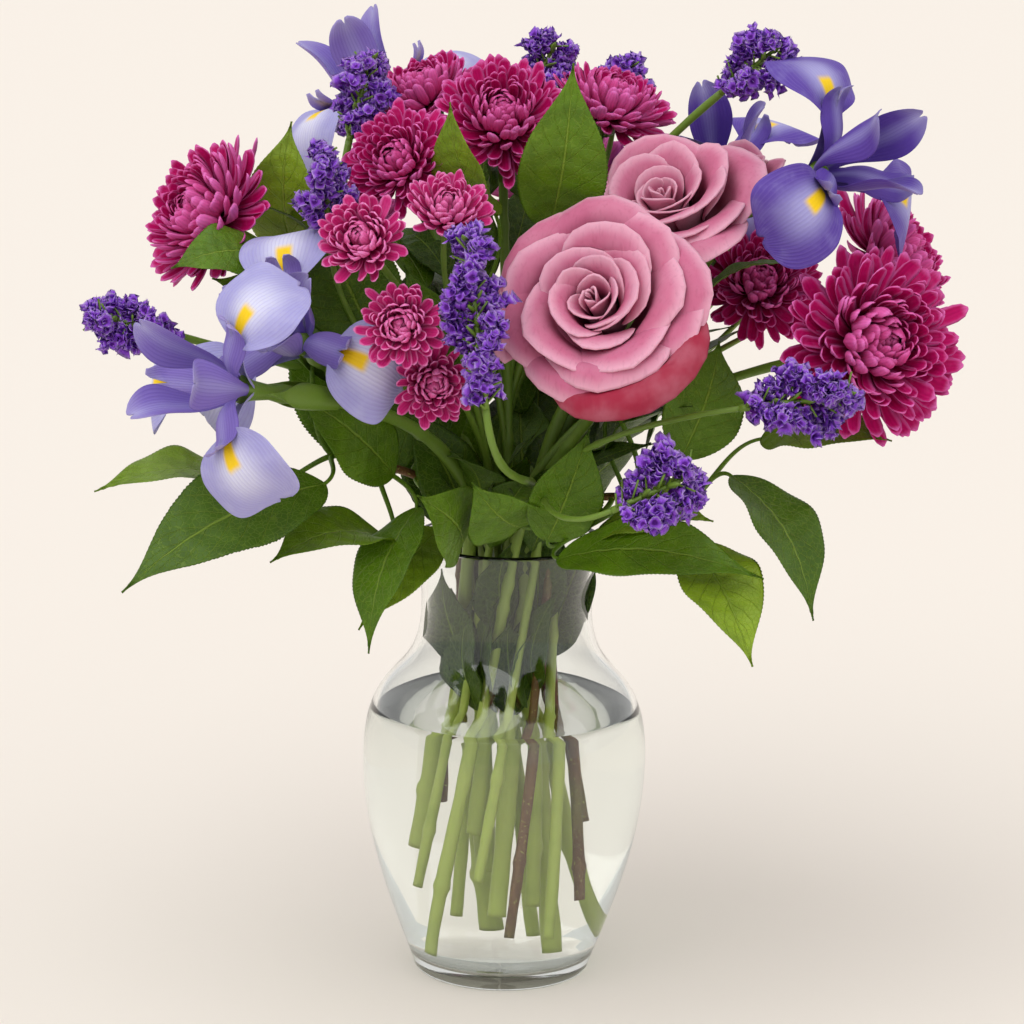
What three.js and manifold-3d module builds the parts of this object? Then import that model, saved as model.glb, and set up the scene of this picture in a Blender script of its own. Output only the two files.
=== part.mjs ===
// A mixed spring bouquet of irises, roses, chrysanthemums, statice and salal leaves
// in a clear glass vase with water. Millimetres, +Z up, origin at the middle of the vase's underside.
import * as THREE from 'three';
import { mergeVertices } from 'three/addons/utils/BufferGeometryUtils.js';
import Module from 'manifold-3d';

const wasm = await Module();
wasm.setup();

// ---- Driving dimensions -------------------------------------------------------------------

const vase = {
  height: 203,
  footRadius: 40.6,
  footRounding: 3,
  bellyRadius: 64.8,
  bellyHeight: 100,
  neckRadius: 38.6,
  neckHeight: 173,
  lipRadius: 42.8,
  wall: 2.8,
  floor: 8,
};
const waterLevel = 124;
const roundSteps = 30; // faces round the vase and the water
const arcSteps = 5; // steps along each arc of the vase's side
const gap = 0.3; // clearance between pieces that touch

// Stems cross the neck in rings and share one turn, so no two of them meet inside the vase.
// The rings are as far apart as two of the thickest stems and the clearance between them.
const stemRadius = { iris: 3.4, rose: 2.8, mum: 2.5, button: 2, statice: 2.1, salal: 2.2 };
const stemClearance = 3.7;
const ringStep = 2 * stemRadius.iris + stemClearance;
const neckRing = { outer: 2 * ringStep, inner: ringStep, centre: 0 };
const turnPerMm = 0.008;
const waistDepth = 30; // from the mouth down to the narrowest place of the bundle
const twigRadius = 1.5;
const footClearance = 5; // lowest cut end above the vase's floor

// Places of blooms and leaves are given from the middle of the mouth for a bouquet of this reach.
const designReach = 190;
const bouquetReach = 186;
// Stems, blooms and leaves have their listed sizes in a bouquet of this reach, and follow it.
const listedReach = 186;
const growth = bouquetReach / listedReach;
const leafThickness = 1;

const irisSize = { fall: 62, fallWidth: 40, standard: 52, standardWidth: 20, tube: 26, petal: 1.4 };

// ---- Arrangement --------------------------------------------------------------------------

// Each bloom: where its middle is, which way it faces, and its radius.
const irises = [
  { ring: 'outer', turn: 145, cut: 8, at: [-90, -69, 100], face: [-0.3, -0.84, 0.5], roll: 92 },
  { ring: 'outer', turn: -155, cut: 48, at: [-110, -122, 90], face: [-0.62, -0.59, 0.25], roll: 27 },
  { ring: 'inner', turn: -49, cut: 22, at: [131, -34, 173], face: [0.72, -0.55, 0.42], roll: 25 },
  { ring: 'inner', turn: 54, cut: 2, at: [99, 80, 145], face: [-0.1, -0.36, 0.84], roll: 55 },
  { ring: 'inner', turn: 156, cut: 38, at: [-58, 74, 177], face: [-0.4, 0.1, 0.71], roll: 108 },
];

const roses = [
  { ring: 'outer', turn: -95, cut: 0, at: [39, -105, 124], face: [-0.25, -0.82, 0.52], radius: 44 },
  { ring: 'inner', turn: -100, cut: 58, at: [68, -44, 158], face: [-0.25, -0.5, 0.83], radius: 38 },
  { ring: 'inner', turn: 2, cut: 26, at: [106, 6, 170], face: [0.3, -0.1, 0.95], radius: 17 },
];

// A spray is one stem that forks to several blooms. `fork` is how far up the first stem it parts.
const mumSprays = {
  top: {
    ring: 'centre', turn: 0, cut: 44,
    blooms: [
      { at: [-5, -22, 194], face: [0, -0.75, 0.66], radius: 31 },
      { at: [-50, -46, 178], face: [-0.35, -0.8, 0.45], radius: 26 },
      { at: [-40, 24, 198], face: [-0.3, -0.2, 0.93], radius: 28 },
      { at: [44, 28, 194], face: [0.3, -0.2, 0.93], radius: 29 },
    ],
  },
  right: {
    ring: 'outer', turn: -5, cut: 12,
    blooms: [
      { at: [158, -62, 104], face: [0.4, -0.87, 0.28], radius: 41 },
      { at: [172, 16, 127], face: [0.8, -0.2, 0.5], radius: 35 },
      { at: [113, 16, 116], face: [0.1, -0.75, 0.6], radius: 28 },
    ],
  },
  left: {
    ring: 'outer', turn: 85, cut: 5,
    blooms: [
      { at: [-136, -12, 148], face: [-0.72, -0.5, 0.48], radius: 35 },
      { at: [-84, 96, 120], face: [-0.55, 0.75, 0.4], radius: 34 },
      { at: [24, 108, 146], face: [0.1, 0.85, 0.5], radius: 37 },
    ],
  },
};

const buttonSpray = {
  ring: 'outer', turn: -125, cut: 32,
  blooms: [
    { at: [-63, -104, 152], face: [-0.2, -0.85, 0.45], radius: 20 },
    { at: [-28, -92, 163], face: [0.1, -0.6, 0.8], radius: 19 },
    { at: [-46, -114, 118], face: [-0.1, -0.95, 0.25], radius: 19 },
    { at: [-33, -96, 90], face: [0.1, -0.98, 0.05], radius: 18 },
  ],
};

// Statice heads are curved spikes: they run from `root` to `tip`.
const staticeSprays = {
  left: {
    ring: 'outer', turn: 115, cut: 52,
    heads: [
      { root: [-146, -50, 100], tip: [-186, -68, 114], radius: 12 },
      { root: [-80, -62, 148], tip: [-82, -72, 190], radius: 11 },
    ],
  },
  crown: {
    ring: 'inner', turn: -156, cut: 18,
    heads: [
      { root: [-74, -8, 182], tip: [-64, -6, 222], radius: 12 },
      { root: [4, 52, 194], tip: [20, 50, 224], radius: 14 },
    ],
  },
  front: {
    ring: 'outer', turn: -65, cut: 40,
    heads: [
      { root: [-10, -132, 86], tip: [-20, -122, 166], radius: 13 },
      { root: [44, -134, 44], tip: [80, -138, 62], radius: 16 },
      { root: [98, -110, 84], tip: [150, -112, 92], radius: 15 },
    ],
  },
  right: {
    ring: 'inner', turn: 105, cut: 8,
    heads: [
      { root: [92, 2, 205], tip: [120, -12, 231], radius: 13 },
      { root: [46, 72, 178], tip: [52, 72, 214], radius: 12 },
    ],
  },
};

// Salal branches end in leaves; each leaf runs from `root` to `tip`.
const salalBranches = [
  { ring: 'outer', turn: 175, cut: 66, end: [-76, -52, 48], along: [-0.8, -0.5, 0.3] },
  { ring: 'outer', turn: -35, cut: 14, end: [78, -58, 32], along: [0.75, -0.6, 0.2] },
  { ring: 'outer', turn: 25, cut: 28, end: [84, 78, 62], along: [0.7, 0.6, 0.4] },
  { ring: 'outer', turn: 55, cut: 60, end: [-66, 84, 60], along: [-0.6, 0.7, 0.4] },
];

const leaves = [
  { root: [-98, 16, 122], tip: [-103, 6, 188], width: 38, lift: 6, up: [-0.4, -0.9, 0.1] },
  { root: [-112, -62, 34], tip: [-178, -100, 44], width: 38, lift: 8, up: [0, -0.2, 1] },
  { root: [-80, -84, 42], tip: [-161, -142, 8], width: 44, lift: 10, up: [0.1, -0.6, 0.8] },
  { root: [-40, -66, 28], tip: [-59, -120, -22], width: 30, lift: 9, up: [-0.5, -0.6, 0.6] },
  { root: [22, -76, 8], tip: [108, -122, 14], width: 36, lift: 8, up: [0, -0.6, 0.8] },
  { root: [98, -72, 46], tip: [136, -112, -6], width: 38, lift: 8, up: [0.6, -0.6, 0.5] },
  { root: [16, -46, 150], tip: [27, -72, 224], width: 38, lift: 5, up: [0.1, -0.95, 0.3] },
];

// ---- Materials ----------------------------------------------------------------------------

function finish(color, roughness, metalness = 0, extra = {}) {
  return new THREE.MeshStandardMaterial({ color, roughness, metalness, ...extra });
}

const clear = { transparent: true, opacity: 0.35 };

// ---- Solids -------------------------------------------------------------------------------

const mouth = new THREE.Vector3(0, 0, vase.height);

function place([x, y, z]) {
  return new THREE.Vector3(x, y, z).multiplyScalar(bouquetReach / designReach).add(mouth);
}

function direction([x, y, z]) {
  return new THREE.Vector3(x, y, z).normalize();
}

function toManifold(geometry, matrix) {
  const copy = geometry.clone();
  copy.deleteAttribute('normal');
  copy.deleteAttribute('uv');
  if (matrix) copy.applyMatrix4(matrix);
  const welded = mergeVertices(copy, 1e-4);
  return new wasm.Manifold(new wasm.Mesh({
    numProp: 3,
    vertProperties: new Float32Array(welded.attributes.position.array),
    triVerts: new Uint32Array(welded.index.array),
  }));
}

function toGeometry(solid) {
  const { vertProperties, triVerts } = solid.getMesh();
  const geometry = new THREE.BufferGeometry();
  geometry.setAttribute('position', new THREE.BufferAttribute(vertProperties, 3));
  geometry.setIndex(new THREE.BufferAttribute(triVerts, 1));
  geometry.computeVertexNormals();
  return geometry;
}

function joined(geometries) {
  return toGeometry(geometries.map((g) => toManifold(g)).reduce((whole, solid) => whole.add(solid)));
}

// A solid of revolution about +Z from [radius, height] points.
function turned(profile, segments) {
  const points = profile.map(([r, z]) => new THREE.Vector2(r, z));
  return new THREE.LatheGeometry(points, segments).rotateX(Math.PI / 2);
}

// Turns +Z to face `axis` and stands the piece at `at`; `roll` degrees about the axis.
function pose(mesh, at, axis, roll = 0) {
  const turn = new THREE.Quaternion().setFromUnitVectors(new THREE.Vector3(0, 0, 1), axis);
  const spin = new THREE.Quaternion().setFromAxisAngle(
    new THREE.Vector3(0, 0, 1), THREE.MathUtils.degToRad(roll));
  mesh.position.copy(at);
  mesh.quaternion.copy(turn).multiply(spin);
  return mesh;
}

// A flat bar bent by a formula: `bend(s, t)` gives the middle surface for s along and t across.
function sheet(alongSteps, acrossSteps, thickness, bend) {
  const geometry = new THREE.BoxGeometry(1, 1, 1, alongSteps, acrossSteps, 1);
  const position = geometry.attributes.position;
  const delta = 1e-3;
  for (let i = 0; i < position.count; i += 1) {
    const s = position.getX(i) + 0.5;
    const t = position.getY(i) * 2;
    const middle = bend(s, t);
    const along = bend(s + delta, t).sub(middle);
    const across = bend(s, t + delta).sub(middle);
    const normal = along.cross(across).normalize();
    middle.addScaledVector(normal, position.getZ(i) * thickness);
    position.setXYZ(i, middle.x, middle.y, middle.z);
  }
  geometry.computeVertexNormals();
  return geometry;
}

// ---- Vase and water -----------------------------------------------------------------------

// The vase's outer side in three cubic arcs: foot to belly, belly to neck, neck to lip.
function vaseSide() {
  const { footRadius, footRounding, bellyRadius, bellyHeight, neckRadius, neckHeight } = vase;
  const { lipRadius, height } = vase;
  const rise = bellyHeight - footRounding;
  const shoulder = neckHeight - bellyHeight;
  const flare = height - neckHeight;
  const at = (x, y) => new THREE.Vector2(x, y);
  const side = new THREE.CurvePath();
  side.add(new THREE.CubicBezierCurve(
    at(footRadius, footRounding), at(footRadius + 0.13 * rise, footRounding + 0.34 * rise),
    at(bellyRadius, bellyHeight - 0.36 * rise), at(bellyRadius, bellyHeight)));
  side.add(new THREE.CubicBezierCurve(
    at(bellyRadius, bellyHeight), at(bellyRadius, bellyHeight + 0.66 * shoulder),
    at(neckRadius, neckHeight - 0.56 * shoulder), at(neckRadius, neckHeight)));
  side.add(new THREE.CubicBezierCurve(
    at(neckRadius, neckHeight), at(neckRadius, neckHeight + 0.4 * flare),
    at(lipRadius - 1, height - 0.3 * flare), at(lipRadius, height - vase.wall / 2)));
  return side;
}

// Points of the side moved inwards by `inset`, from the lip down to the height `lowest`.
function insideOfSide(inset, lowest) {
  const points = [];
  for (const curve of [...vaseSide().curves].reverse()) {
    for (let i = arcSteps; i > 0; i -= 1) {
      const tangent = curve.getTangent(i / arcSteps);
      const point = curve.getPoint(i / arcSteps);
      const inner = [point.x - tangent.y * inset, point.y + tangent.x * inset];
      if (inner[1] > lowest) points.push(inner);
    }
  }
  return points;
}

// The hollow's outline below the lip: wall, rounded corner, floor. It ends on the axis.
function hollowProfile(inset, floorHeight) {
  const cornerHeight = floorHeight + 9;
  const side = insideOfSide(inset, cornerHeight);
  const cornerRadius = vase.footRadius - inset + 1;
  return [...side, [cornerRadius, cornerHeight - 2], [cornerRadius - 2.5, floorHeight + 2.5],
    [cornerRadius - 8, floorHeight], [0, floorHeight]];
}

function makeVase() {
  const outer = vaseSide().curves.flatMap((curve, index) => (
    curve.getPoints(arcSteps).slice(index ? 1 : 0).map((p) => [p.x, p.y])));
  const lip = outer[outer.length - 1];
  const base = vase.footRadius - vase.footRounding - 1;
  const foot = [[0, 0], [base, 0], [base + 2.6, 0.9]];
  const roundedLip = [[lip[0] - 0.4, vase.height - 0.3], [lip[0] - vase.wall / 2, vase.height],
    [lip[0] - vase.wall + 0.3, vase.height - 0.4]];
  const profile = [...foot, ...outer, ...roundedLip, ...hollowProfile(vase.wall, vase.floor)];
  return turned(profile, roundSteps);
}

// The hollow's outline cut off level at `height`, where it gets a flat top.
function levelled(profile, height) {
  const above = profile.filter(([, z]) => z >= height);
  const below = profile.filter(([, z]) => z < height);
  const [highRadius, high] = above[above.length - 1];
  const [lowRadius, low] = below[0];
  const radius = lowRadius + ((highRadius - lowRadius) * (height - low)) / (high - low);
  return [[0, height], [radius, height], ...below];
}

function makeWater(stemSolids) {
  const hollow = hollowProfile(vase.wall + gap, vase.floor + gap);
  const body = turned(levelled(hollow, waterLevel).reverse(), roundSteps);
  return toGeometry(stemSolids.reduce((water, stem) => water.subtract(stem), toManifold(body)));
}

// ---- Stems --------------------------------------------------------------------------------

// The height of a cut end: as low as its cut allows, and clear of the side all round.
function footHeightOf(cut, radius, reachAt) {
  const hollow = hollowProfile(vase.wall, vase.floor);
  let height = vase.floor + footClearance + cut;
  while (reachAt(height) + radius + gap > levelled(hollow, height)[1][0]) height += 1;
  return height;
}

function neckLine({ ring, turn, cut }, stem) {
  const angle = THREE.MathUtils.degToRad(turn);
  const radius = neckRing[ring];
  const slope = radius * turnPerMm;
  const run = new THREE.Vector3(-Math.sin(angle) * slope, Math.cos(angle) * slope, 1);
  const waist = vase.height - waistDepth;
  const neck = new THREE.Vector3(Math.cos(angle) * radius, Math.sin(angle) * radius, waist);
  const reachAt = (height) => Math.hypot(radius, slope * (height - waist));
  const footHeight = footHeightOf(cut, stem, reachAt);
  return {
    foot: neck.clone().addScaledVector(run, footHeight - waist),
    mouth: neck.clone().addScaledVector(run, waistDepth),
    run: run.clone().normalize(),
  };
}

// Straight from the cut end to the mouth, then one bend that arrives at `end` along `axis`.
function stemPath(line, end, axis) {
  const reach = line.mouth.distanceTo(end) * 0.36;
  const path = new THREE.CurvePath();
  path.add(new THREE.LineCurve3(line.foot, line.mouth));
  path.add(new THREE.CubicBezierCurve3(
    line.mouth, line.mouth.clone().addScaledVector(line.run, reach),
    end.clone().addScaledVector(axis, -reach), end));
  return path;
}

function rod(path, radius, sides, steps) {
  const section = new THREE.Shape();
  for (let i = 0; i < sides; i += 1) {
    const angle = (i / sides) * 2 * Math.PI;
    const at = [radius * Math.cos(angle), radius * Math.sin(angle)];
    if (i) section.lineTo(...at);
    else section.moveTo(...at);
  }
  return new THREE.ExtrudeGeometry(section, { steps, extrudePath: path, bevelEnabled: false });
}

// One stem that forks: the first end takes the main stem, the others leave it above the mouth.
function makeStem(spec, ends, radius) {
  const line = neckLine(spec, radius);
  const main = stemPath(line, ends[0].at, ends[0].axis);
  const rods = [rod(main, radius, 6, 12)];
  const bend = main.curves[1];
  ends.slice(1).forEach((end, index) => {
    const start = bend.getPoint(0.08 + 0.1 * index);
    const run = bend.getTangent(0.08 + 0.1 * index);
    const reach = start.distanceTo(end.at) * 0.34;
    const twig = new THREE.CubicBezierCurve3(
      start, start.clone().addScaledVector(run, reach),
      end.at.clone().addScaledVector(end.axis, -reach), end.at);
    rods.push(rod(twig, twigRadius * growth, 5, 6));
  });
  return rods.length > 1 ? joined(rods) : rods[0];
}

// The part of a stem that stands in the water, grown by the clearance.
function stemInWater(spec, radius) {
  const line = neckLine(spec, radius);
  const below = line.foot.clone().addScaledVector(line.run, -gap);
  const side = rod(new THREE.LineCurve3(below, line.mouth), radius + gap, 6, 1);
  return toManifold(side);
}

// ---- Blooms -------------------------------------------------------------------------------

const mumProfile = [
  [0, -0.42], [0.2, -0.42], [0.72, -0.2], [1, 0], [0.82, 0.14], [0.86, 0.26], [0.55, 0.4], [0, 0.48],
];
const roseProfile = [
  [0, -0.95], [0.12, -0.95], [0.22, -0.72], [0.62, -0.5], [0.9, -0.1], [1, 0.1], [0.8, 0.06],
  [0.72, 0.24], [0.52, 0.1], [0.4, 0.3], [0.2, 0.18], [0, 0.34],
];
const buttonProfile = [[0, -0.5], [0.2, -0.5], [0.78, -0.3], [1, 0], [0.8, 0.3], [0.4, 0.44], [0, 0.42]];

function bloomGeometry(profile, radius, segments) {
  return turned(profile.map(([r, z]) => [r * radius, z * radius]), segments);
}

// Three falls arch out and down, three standards stand up, three style arms lie over the falls.
function makeIris() {
  const { fall, fallWidth, standard, standardWidth, tube, petal } = irisSize;
  const blade = (s) => (
    0.16 + 0.84 * Math.sin(Math.PI * Math.min(1, s * 0.93)) ** 1.4 * Math.min(1, s / 0.4));
  const fallAt = (s, t) => new THREE.Vector3(
    fall * 0.72 * Math.sin(s * 1.25), t * 0.5 * fallWidth * blade(s),
    fall * (0.34 * Math.sin(Math.min(s, 1) * 2.1) - 0.42 * s * s * s) + 3);
  const standardAt = (s, t) => new THREE.Vector3(
    4 + standard * 0.42 * Math.sin(s * 1.4), t * 0.5 * standardWidth * (0.3 + 0.7 * Math.sin(2.6 * s)),
    standard * 0.9 * s + 3);
  const armAt = (s, t) => new THREE.Vector3(
    3 + 30 * s, t * 5.5 * (0.7 + 0.5 * s), 10 + 22 * Math.sin(s * 1.5) - petal);
  const heart = [[0, -tube], [3.6, -tube], [5, -tube * 0.5], [4.5, 0], [8, 6], [6, 12], [0, 12]];
  const pieces = [turned(heart, 6)];
  for (let i = 0; i < 3; i += 1) {
    const third = (i * 2 * Math.PI) / 3;
    pieces.push(sheet(4, 2, petal, fallAt).rotateZ(third));
    pieces.push(sheet(3, 2, petal, standardAt).rotateZ(third + Math.PI / 3));
    pieces.push(sheet(2, 1, petal, armAt).rotateZ(third));
  }
  return joined(pieces);
}

// A lumpy spike from `root` to `tip`, thicker in the middle.
function makeHead(length, radius) {
  const lumps = 7;
  const profile = [[0, 0]];
  for (let i = 1; i < lumps; i += 1) {
    const s = i / lumps;
    const lump = i % 2 ? 1 : 0.84;
    profile.push([radius * lump * Math.sin(Math.PI * s ** 0.8) ** 0.5, length * s]);
  }
  profile.push([0, length]);
  return turned(profile, 8);
}

function makeLeaf(length, width, lift) {
  const outline = (s) => 0.05 + 0.95 * Math.sin(Math.PI * s ** 0.82) ** 0.85;
  return sheet(6, 2, leafThickness, (s, t) => new THREE.Vector3(
    length * s, t * 0.5 * width * outline(Math.min(Math.max(s, 0), 1)),
    lift * Math.sin(Math.PI * s) + 0.12 * width * Math.abs(t) * outline(Math.min(Math.max(s, 0), 1))));
}

// ---- Assembly -----------------------------------------------------------------------------

const bouquet = new THREE.Group();
const standing = []; // stems, as they stand in the water

function add(name, geometry, material) {
  const mesh = new THREE.Mesh(geometry, material);
  mesh.name = name;
  bouquet.add(mesh);
  return mesh;
}

function addStem(name, spec, ends, listedRadius, material) {
  const radius = listedRadius * growth;
  add(name, makeStem(spec, ends, radius), material);
  standing.push(stemInWater(spec, radius));
}

// Where a stem meets the underside of a bloom that reaches `depth` below its middle.
function stemEnd(at, axis, depth) {
  return { at: at.clone().addScaledVector(axis, -(depth + gap)), axis };
}

irises.forEach((iris, index) => {
  const at = place(iris.at);
  const axis = direction(iris.face);
  const end = stemEnd(at, axis, irisSize.tube * growth);
  addStem(`iris_${index + 1}_stem`, iris, [end], stemRadius.iris, finish(0x6f9040, 0.5));
  const geometry = makeIris().scale(growth, growth, growth);
  pose(add(`iris_${index + 1}_bloom`, geometry, finish(0x7f76cf, 0.6)), at, axis, iris.roll);
});

roses.forEach((rose, index) => {
  const at = place(rose.at);
  const axis = direction(rose.face);
  const radius = rose.radius * growth;
  const end = stemEnd(at, axis, 0.95 * radius);
  addStem(`rose_${index + 1}_stem`, rose, [end], stemRadius.rose, finish(0x6b4a32, 0.6));
  const geometry = bloomGeometry(roseProfile, radius, 16);
  pose(add(`rose_${index + 1}_bloom`, geometry, finish(0xc98aa0, 0.6)), at, axis);
});

function addSpray(name, spray, profile, segments, radius, stemColor, bloomColor) {
  const depth = -profile[0][1];
  const ends = spray.blooms.map((bloom, index) => {
    const at = place(bloom.at);
    const axis = direction(bloom.face);
    const size = bloom.radius * growth;
    const geometry = bloomGeometry(profile, size, segments);
    pose(add(`${name}_${index + 1}`, geometry, finish(bloomColor, 0.7)), at, axis);
    return stemEnd(at, axis, depth * size);
  });
  addStem(`${name}_stem`, spray, ends, radius, finish(stemColor, 0.55));
}

for (const [side, spray] of Object.entries(mumSprays)) {
  addSpray(`mum_${side}`, spray, mumProfile, 14, stemRadius.mum, 0x6d8a3c, 0xb02a6c);
}
addSpray('button', buttonSpray, buttonProfile, 12, stemRadius.button, 0x86a05a, 0xc5568f);

for (const [side, spray] of Object.entries(staticeSprays)) {
  const ends = spray.heads.map((head, index) => {
    const root = place(head.root);
    const tip = place(head.tip);
    const axis = tip.clone().sub(root).normalize();
    const geometry = makeHead(root.distanceTo(tip), head.radius * growth);
    pose(add(`statice_${side}_${index + 1}`, geometry, finish(0x5b3fc0, 0.8)), root, axis);
    return stemEnd(root, axis, 0);
  });
  addStem(`statice_${side}_stem`, spray, ends, stemRadius.statice, finish(0x5d8238, 0.6));
}

salalBranches.forEach((branch, index) => {
  const end = { at: place(branch.end), axis: direction(branch.along) };
  addStem(`salal_${index + 1}_stem`, branch, [end], stemRadius.salal, finish(0x5c5a34, 0.6));
});

leaves.forEach((leaf, index) => {
  const root = place(leaf.root);
  const tip = place(leaf.tip);
  const along = tip.clone().sub(root);
  const across = direction(leaf.up).cross(along).normalize();
  const up = along.clone().normalize().cross(across);
  const geometry = makeLeaf(along.length(), leaf.width * growth, leaf.lift * growth);
  const mesh = add(`leaf_${index + 1}`, geometry, finish(0x4c7c2a, 0.45));
  mesh.position.copy(root);
  mesh.quaternion.setFromRotationMatrix(new THREE.Matrix4().makeBasis(along.normalize(), across, up));
});

add('vase', makeVase(), finish(0xe6f0ee, 0.04, 0, clear));
add('water', makeWater(standing), finish(0xdfe9e2, 0.02, 0, clear));

export default bouquet;
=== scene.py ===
"""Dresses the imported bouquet: glass vase, water, stems, petals, florets and leaves.

Laid out as an add-on and run as a script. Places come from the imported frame, apart from those of
the loose leaves, which are listed with the leaves.
"""
import math

import bpy
import numpy as np
from bpy.props import FloatProperty, FloatVectorProperty, IntProperty, PointerProperty
from mathutils import Euler, Matrix, Vector


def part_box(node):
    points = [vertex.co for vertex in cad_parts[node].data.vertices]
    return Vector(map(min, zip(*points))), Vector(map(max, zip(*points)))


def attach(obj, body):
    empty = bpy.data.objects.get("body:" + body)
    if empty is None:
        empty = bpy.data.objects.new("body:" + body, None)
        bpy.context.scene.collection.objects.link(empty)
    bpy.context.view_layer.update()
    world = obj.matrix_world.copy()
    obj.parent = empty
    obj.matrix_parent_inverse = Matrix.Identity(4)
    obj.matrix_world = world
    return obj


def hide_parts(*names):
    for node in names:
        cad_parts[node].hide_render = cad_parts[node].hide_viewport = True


bl_info = {
    "name": "Cut flower bouquet in a glass vase",
    "version": (1, 0, 0),
    "blender": (4, 5, 0),
    "location": "View3D > Sidebar > Bouquet",
    "description": "Builds the vase, water, stems, blooms and leaves round the packed frame",
    "category": "Add Mesh",
}

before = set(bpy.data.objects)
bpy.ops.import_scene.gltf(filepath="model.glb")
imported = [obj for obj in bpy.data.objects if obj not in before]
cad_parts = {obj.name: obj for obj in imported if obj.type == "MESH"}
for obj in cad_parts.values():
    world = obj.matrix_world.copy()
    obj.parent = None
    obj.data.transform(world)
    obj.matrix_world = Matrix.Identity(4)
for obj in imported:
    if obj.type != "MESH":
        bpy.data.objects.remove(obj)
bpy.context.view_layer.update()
MM = 0.001
UP = np.array([0.0, 0.0, 1.0])
GOLDEN_ANGLE = math.pi * (3 - math.sqrt(5))
LARGEST_MUM = 41 * MM
LEAF_ARCH = 0.11
TURNED_SIDES = 160
FLOOR_SIDES = 96
MOUTH_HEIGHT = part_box("vase")[1][2]
BELLY_RADIUS = (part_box("vase")[1][0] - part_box("vase")[0][0]) / 2
WATER_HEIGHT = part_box("water")[1][2]
FLOOR_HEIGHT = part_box("water")[0][2]


def linear(red, green, blue):
    """A display colour of 0 to 255 a channel as the linear colour that shaders take."""
    shares = [channel / 255 for channel in (red, green, blue)]
    return tuple(c / 12.92 if c <= 0.04045 else ((c + 0.055) / 1.055) ** 2.4 for c in shares)


# ---- Sizes and colours that a user may change ---------------------------------------------

def length(name, description, default):
    """A length property in metres."""
    return FloatProperty(name=name, description=description, default=default, unit="LENGTH", min=0.0)


def share(name, description, default):
    """A plain number property."""
    return FloatProperty(name=name, description=description, default=default)


def colour(name, description, default):
    """A colour property."""
    return FloatVectorProperty(
        name=name, description=description, default=default, subtype="COLOR", size=3, min=0.0, max=1.0)


class VaseSizes(bpy.types.PropertyGroup):
    """The vase's own sizes."""

    foot_radius: length("Foot radius", "Outer radius where the side meets the foot", 0.0406)
    foot_rounding: length("Foot rounding", "Height of the rounded edge under the side", 0.003)
    belly_height: length("Belly height", "Height of the widest ring", 0.100)
    neck_radius: length("Neck radius", "Outer radius of the narrowest ring", 0.0386)
    neck_height: length("Neck height", "Height of the narrowest ring", 0.173)
    lip_radius: length("Lip radius", "Outer radius of the flared lip", 0.0428)
    wall: length("Wall", "Thickness of the glass side", 0.0028)
    floor: length("Floor", "Thickness of the glass floor", 0.008)
    tint: colour("Glass tint", "Colour that clear glass passes", (0.965, 0.985, 0.978))
    water_tint: colour("Water tint", "Colour that the water passes", (0.975, 0.985, 0.96))


class IrisSizes(bpy.types.PropertyGroup):
    """Sizes and colours of an iris bloom."""

    fall: length("Fall", "Length of a fall along its middle", 0.068)
    fall_width: length("Fall width", "Width across the blade of a fall", 0.044)
    standard: length("Standard", "Length of a standard", 0.056)
    standard_width: length("Standard width", "Width across a standard", 0.021)
    style_arm: length("Style arm", "Length of a style arm with its crest", 0.040)
    style_width: length("Style arm width", "Width across a style arm", 0.015)
    tube: length("Tube", "Length of the green ovary and floral tube", 0.026)
    petal: length("Petal thickness", "Thickness at the middle of a petal", 0.0007)
    pale: colour("Pale fall", "Colour at the middle of a fall", linear(216, 216, 238))
    blue: colour("Fall edge", "Colour towards the edge of a fall", linear(166, 162, 212))
    deep: colour("Standard", "Colour of the standards", linear(132, 112, 190))
    dark: colour("Dark iris", "Colour of the darker blooms", linear(92, 66, 158))
    signal: colour("Signal", "Colour of the signal patch", linear(250, 208, 24))


class RoseSizes(bpy.types.PropertyGroup):
    """Sizes and colours of a rose."""

    petals: IntProperty(name="Petals", description="Petals in an open bloom", default=32)
    petal: length("Petal thickness", "Thickness at the middle of a petal", 0.0009)
    # The rim colour also paints a highlight on the rolled rims, and the root colour paints shade deep between
    # the petals.
    light: colour("Petal rim", "Colour of the petals' rims", linear(234, 182, 202))
    middle: colour("Petal face", "Colour of the petals' faces", linear(200, 108, 142))
    deep: colour("Petal root", "Colour deep between the petals", linear(122, 20, 60))
    guard: colour("Guard petal", "Colour of the outermost petals", linear(156, 28, 56))


class MumSizes(bpy.types.PropertyGroup):
    """Sizes and colours of the chrysanthemums."""

    petals: IntProperty(name="Petals", description="Petals in a large bloom", default=255)
    button_petals: IntProperty(name="Button petals", description="Petals in a small bloom", default=125)
    petal: length("Petal thickness", "Thickness at the middle of a petal", 0.0007)
    # The tip colours also paint highlights on the raised petal edges. The heart colours paint shade at the
    # petal feet, and the heart is partly this deep colour of its own.
    light: colour("Petal tip", "Colour of a large bloom's petal tips", linear(242, 134, 212))
    middle: colour("Petal", "Colour of a large bloom's petals", linear(198, 14, 108))
    deep: colour("Heart", "Colour at a large bloom's heart", linear(118, 0, 44))
    button_light: colour("Button tip", "Colour of a small bloom's petal tips", linear(252, 160, 220))
    button_middle: colour("Button petal", "Colour of a small bloom's petals", linear(212, 48, 132))
    button_deep: colour("Button heart", "Colour at a small bloom's heart", linear(124, 0, 54))


class StaticeSizes(bpy.types.PropertyGroup):
    """Sizes and colours of the statice."""

    floret: length("Floret", "Width of one papery floret", 0.0056)
    spacing: length("Spacing", "Distance between florets on a spike", 0.0030)
    # The rim colour paints a highlight on the rims, and the throat colour paints shade in the throats.
    light: colour("Rim", "Colour of a floret's rim", linear(214, 184, 252))
    middle: colour("Floret", "Colour of a floret's face", linear(152, 84, 222))
    deep: colour("Throat", "Colour of a floret's throat", linear(88, 26, 132))


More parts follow.
